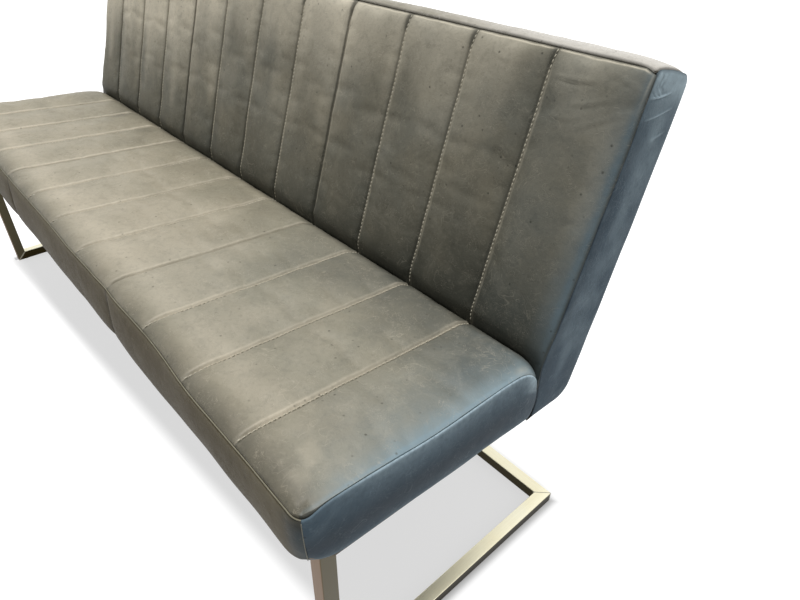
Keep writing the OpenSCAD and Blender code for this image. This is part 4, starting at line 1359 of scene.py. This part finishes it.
def mitre_distance(tree, at):
    """Distance in metres to the nearest mitre: at the rear corners and at the legs' feet."""
    x, y, z = add(tree, "SeparateXYZ", {0: at})
    out = add(tree, "Math", {0: x}, operation="ABSOLUTE")[0]
    nearest = 1.0
    for first, second, place in ((out, y, BASE_X - BASE_REAR), (y, z, LEG_FOOT)):
        gap = add(tree, "Math", {0: first, 1: second}, operation="SUBTRACT")[0]
        gap = add(tree, "Math", {0: gap, 1: place}, operation="SUBTRACT")[0]
        gap = add(tree, "Math", {0: gap}, operation="ABSOLUTE")[0]
        nearest = add(tree, "Math", {0: nearest, 1: gap}, operation="MINIMUM")[0]
    return nearest


# %% Dress the tubes
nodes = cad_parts
# The three finishes differ in their brushing and in the painted dark of their fronts and sides.
for name, stretch, front, side, tubes in (
        ("Brushed brass plate, upright", (1, 1, 0.01), "#57390A", "#4A4536", ("leg_right", "leg_left")),
        ("Brushed brass plate, front to back", (1, 0.01, 1), "#5A5034", "#262010",
         ("runner_right", "runner_left", "seat_rail_right", "seat_rail_left")),
        ("Brushed brass plate, end to end", (0.01, 1, 1), "#2E2812", "#3A3420", ("rear_crossbar",))):
    finish = brass(name, stretch, front, side)
    for tube in tubes:
        dress(nodes[tube], finish)
    print(name, "on", len(tubes), "tubes")

# %% [markdown]
# ## The small and hidden materials
# Thread, moulded plastic, zinc plate, wood, hardboard, foam, webbing and dust cloth are each a
# short mix of two tones by a pattern of the right size, with a matching bump.


# %% A material of two tones
def two_tone(name, first, second, scale, stretch=(1, 1, 1), depth=0.0004, roughness=0.6, **finish):
    material, tree, shader, at = new_material(name)
    at = add(tree, "Mapping", {"Vector": at, "Scale": stretch})[0]
    pattern = add(tree, "TexNoise", {"Vector": at, "Scale": scale, "Detail": 4.0, "Roughness": 0.6})["Fac"]
    sharp = add(tree, "MapRange", {"Value": pattern, "From Min": 0.35, "From Max": 0.65})[0]
    tone = paint(tree, first, [(second, sharp, 0.0, 1.0, 1.0)])
    relief = add(tree, "Bump", {"Height": sharp, "Strength": 0.4, "Distance": depth})[0]
    connect(tree, shader, {"Base Color": tone, "Normal": relief, "Roughness": roughness} | finish)
    return material


# %% Thread, wood, foam and cloth of the scene's own pieces
# Cream, with a silky sheen.
cream_thread = two_tone("Waxed polyester thread", "#D9D3C0", "#B9B29C", 900, **{"Sheen Weight": 0.2})
# Pale brown, streaked along the sofa.
beech = two_tone("Beech, planed", "#C9A577", "#B28C5E", 60, (0.08, 1, 1))
# Pale yellow and matt, with small open cells.
yellow_foam = two_tone("Polyurethane foam", "#E8E1B8", "#D4CB9C", 500, depth=0.001, roughness=0.9)
# Matt and nearly black.
black_cloth = two_tone("Spunbond dust cloth", "#26272A", "#1B1C1E", 700, roughness=0.9)
for piece in threads:
    dress(piece, cream_thread)
dress(rail, beech)
dress(foam, yellow_foam)
dress(dust_cloth, black_cloth)

# %% The hidden parts of the CAD
hidden = {
    # Black, with the faint gloss of a moulding.
    two_tone("Moulded polyethylene", "#1F1F20", "#2B2B2C", 400, roughness=0.45): (
        "rail_end_caps", "floor_glides"),
    # Dull silver, with a soft reflection.
    two_tone("Zinc-plated steel", "#B9BDC0", "#9FA4A8", 300, roughness=0.35, Metallic=1.0): (
        "frame_bolts", "frame_washers", "insert_nuts", "back_bolts", "back_washers", "back_nuts"),
    beech: ("seat_rear_rail", "back_top_rail", "back_bottom_rail", "seat_corner_blocks"),
    # The same wood, streaked from front to back and upwards.
    two_tone("Beech, planed across", "#C9A577", "#B28C5E", 60, (1, 0.08, 0.3)): (
        "seat_side_rail_right", "seat_side_rail_left", "seat_cross_rails", "back_post_right",
        "back_post_left", "back_uprights"),
    # Flat brown, finely speckled.
    two_tone("Hardboard", "#8E6E48", "#7A5C3A", 220, roughness=0.8): ("back_board",),
    yellow_foam: ("back_foam",),
    # Dark grey, with a fine rib.
    two_tone("Elastic webbing", "#55534F", "#3C3A37", 350, (1, 1, 3), roughness=0.85): (
        "webbing_cross_straps", "webbing_long_straps"),
}
for material, parts in hidden.items():
    for part in parts:
        dress(nodes[part], material)
print("hidden parts dressed:", sum(len(parts) for parts in hidden.values()))

# %% [markdown]
# ## Floor, background and light
# A broad soft light stands straight above, and a white room fills in from all round. The
# camera, mirrors and glass see the room as plain white. The floor is white too, and part of its
# white doesn't depend on the light, so the shadow on it stays pale. It glows less under the
# sofa than beyond its outline, so the shadow's edge follows a painted outline, and least in a
# narrow line where the tubes stand, as a painted contact shadow.

# %% Floor
# The last number is how much glow the painted contact shadow along the tubes takes away.
FLOOR_GREY, GLOW, EDGE_GLOW, CONTACT_SHADOW = 0.4, 0.62, 0.38, 0.34
FRONT_SKEW, LEG_REAR, TUBE_HALF = 0.058, -0.318, 0.012


def seen_directly(tree):
    """1 for what the camera, a mirror or glass sees, and 0 for the light that falls on things."""
    rays = add(tree, "LightPath")
    seen = 0.0
    for kind in ("Is Camera Ray", "Is Glossy Ray", "Is Transmission Ray"):
        seen = add(tree, "Math", {0: seen, 1: rays[kind]}, operation="MAXIMUM")[0]
    return seen


def floor_glow(tree, at):
    """More glow beyond the sofa's outline on the floor, which paints the shadow's edge there, and
    less where the tubes stand, as a painted contact shadow.
    """
    x, y, z = add(tree, "SeparateXYZ", {0: at})
    out = add(tree, "Math", {0: x}, operation="ABSOLUTE")[0]
    ahead = add(tree, "Math", {0: x, 1: -FRONT_SKEW, 2: y}, operation="MULTIPLY_ADD")[0]
    glow = 0.0
    for place, low, high in ((out, 0.897, 0.93), (y, 0.266, 0.3), (ahead, -0.262, -0.306)):
        beyond = add(tree, "MapRange", {
            "Value": place, "From Min": low, "From Max": high, "To Max": EDGE_GLOW},
            interpolation_type="SMOOTHSTEP")[0]
        glow = add(tree, "Math", {0: glow, 1: beyond}, operation="MAXIMUM")[0]
    glow = add(tree, "Math", {0: glow, 1: GLOW}, operation="ADD")[0]
    gap = -1.0
    for place, tube in ((out, BASE_X), (y, BASE_REAR)):
        off = add(tree, "Math", {0: place, 1: tube}, operation="SUBTRACT")[0]
        gap = add(tree, "Math", {0: gap, 1: off}, operation="MAXIMUM")[0]
    contact_shadow = add(tree, "MapRange", {
        "Value": gap, "From Min": 0.016, "From Max": 0.0, "To Max": CONTACT_SHADOW},
        interpolation_type="SMOOTHSTEP")[0]
    for place, low in ((y, LEG_REAR), (gap, -TUBE_HALF)):
        past = add(tree, "Math", {0: place, 1: low}, operation="GREATER_THAN")[0]
        contact_shadow = add(tree, "Math", {0: contact_shadow, 1: past}, operation="MULTIPLY")[0]
    return add(tree, "Math", {0: glow, 1: contact_shadow}, operation="SUBTRACT")[0]


floor = begin("studio_floor", bpy.ops.mesh.primitive_circle_add,
              vertices=96, radius=30, fill_type="NGON", location=(0, 0, -0.0002))
floor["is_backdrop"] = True
material, tree, shader, at = new_material("White floor")
tree.nodes.remove(shader)
matt = add(tree, "BsdfDiffuse", {"Color": (FLOOR_GREY, FLOOR_GREY, FLOOR_GREY, 1)})[0]
glow = add(tree, "Emission", {"Color": (1, 1, 1, 1), "Strength": floor_glow(tree, at)})[0]
white = add(tree, "AddShader", {0: matt, 1: glow})[0]
both = add(tree, "MixShader", {0: seen_directly(tree), 1: matt, 2: white})[0]
connect(tree, tree.nodes["Material Output"], {"Surface": both})
dress(floor, material)

# %% Light
ROOM_LIGHT, LAMP_LIGHT = 0.3, 0.72
LAMP_PLACE, LAMP_SIZE, LAMP_TILT = (0.3, 0.2, 4), math.radians(9), math.radians(1.5)

world = bpy.data.worlds.new("White room")
bpy.context.scene.world = world
world.use_nodes = True
tree = world.node_tree
tree.nodes.clear()
room = add(tree, "Background", {"Color": (1, 1, 1, 1), "Strength": ROOM_LIGHT})[0]
white = add(tree, "Background", {"Color": (1, 1, 1, 1), "Strength": 1.0})[0]
both = add(tree, "MixShader", {0: seen_directly(tree), 1: room, 2: white})[0]
add(tree, "OutputWorld", {"Surface": both})

lamp = begin("overhead_softbox", bpy.ops.object.light_add, type="SUN", location=LAMP_PLACE)
lamp.data.energy = math.pi * LAMP_LIGHT
lamp.data.angle = LAMP_SIZE
lamp.rotation_euler = (LAMP_TILT, 0, 0)
bpy.context.scene.view_settings.view_transform = "Standard"
print("lamp %.2f, room %.2f" % (lamp.data.energy, ROOM_LIGHT))

# %% Compare the boxes and finish
new_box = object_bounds()
for axis, low0, low1, high0, high1 in zip("XYZ", cad_box[0], new_box[0], cad_box[1], new_box[1]):
    print("%s: low moved %.1f mm, high moved %.1f mm" % (axis, (low1 - low0) * 1000, (high1 - high0) * 1000))
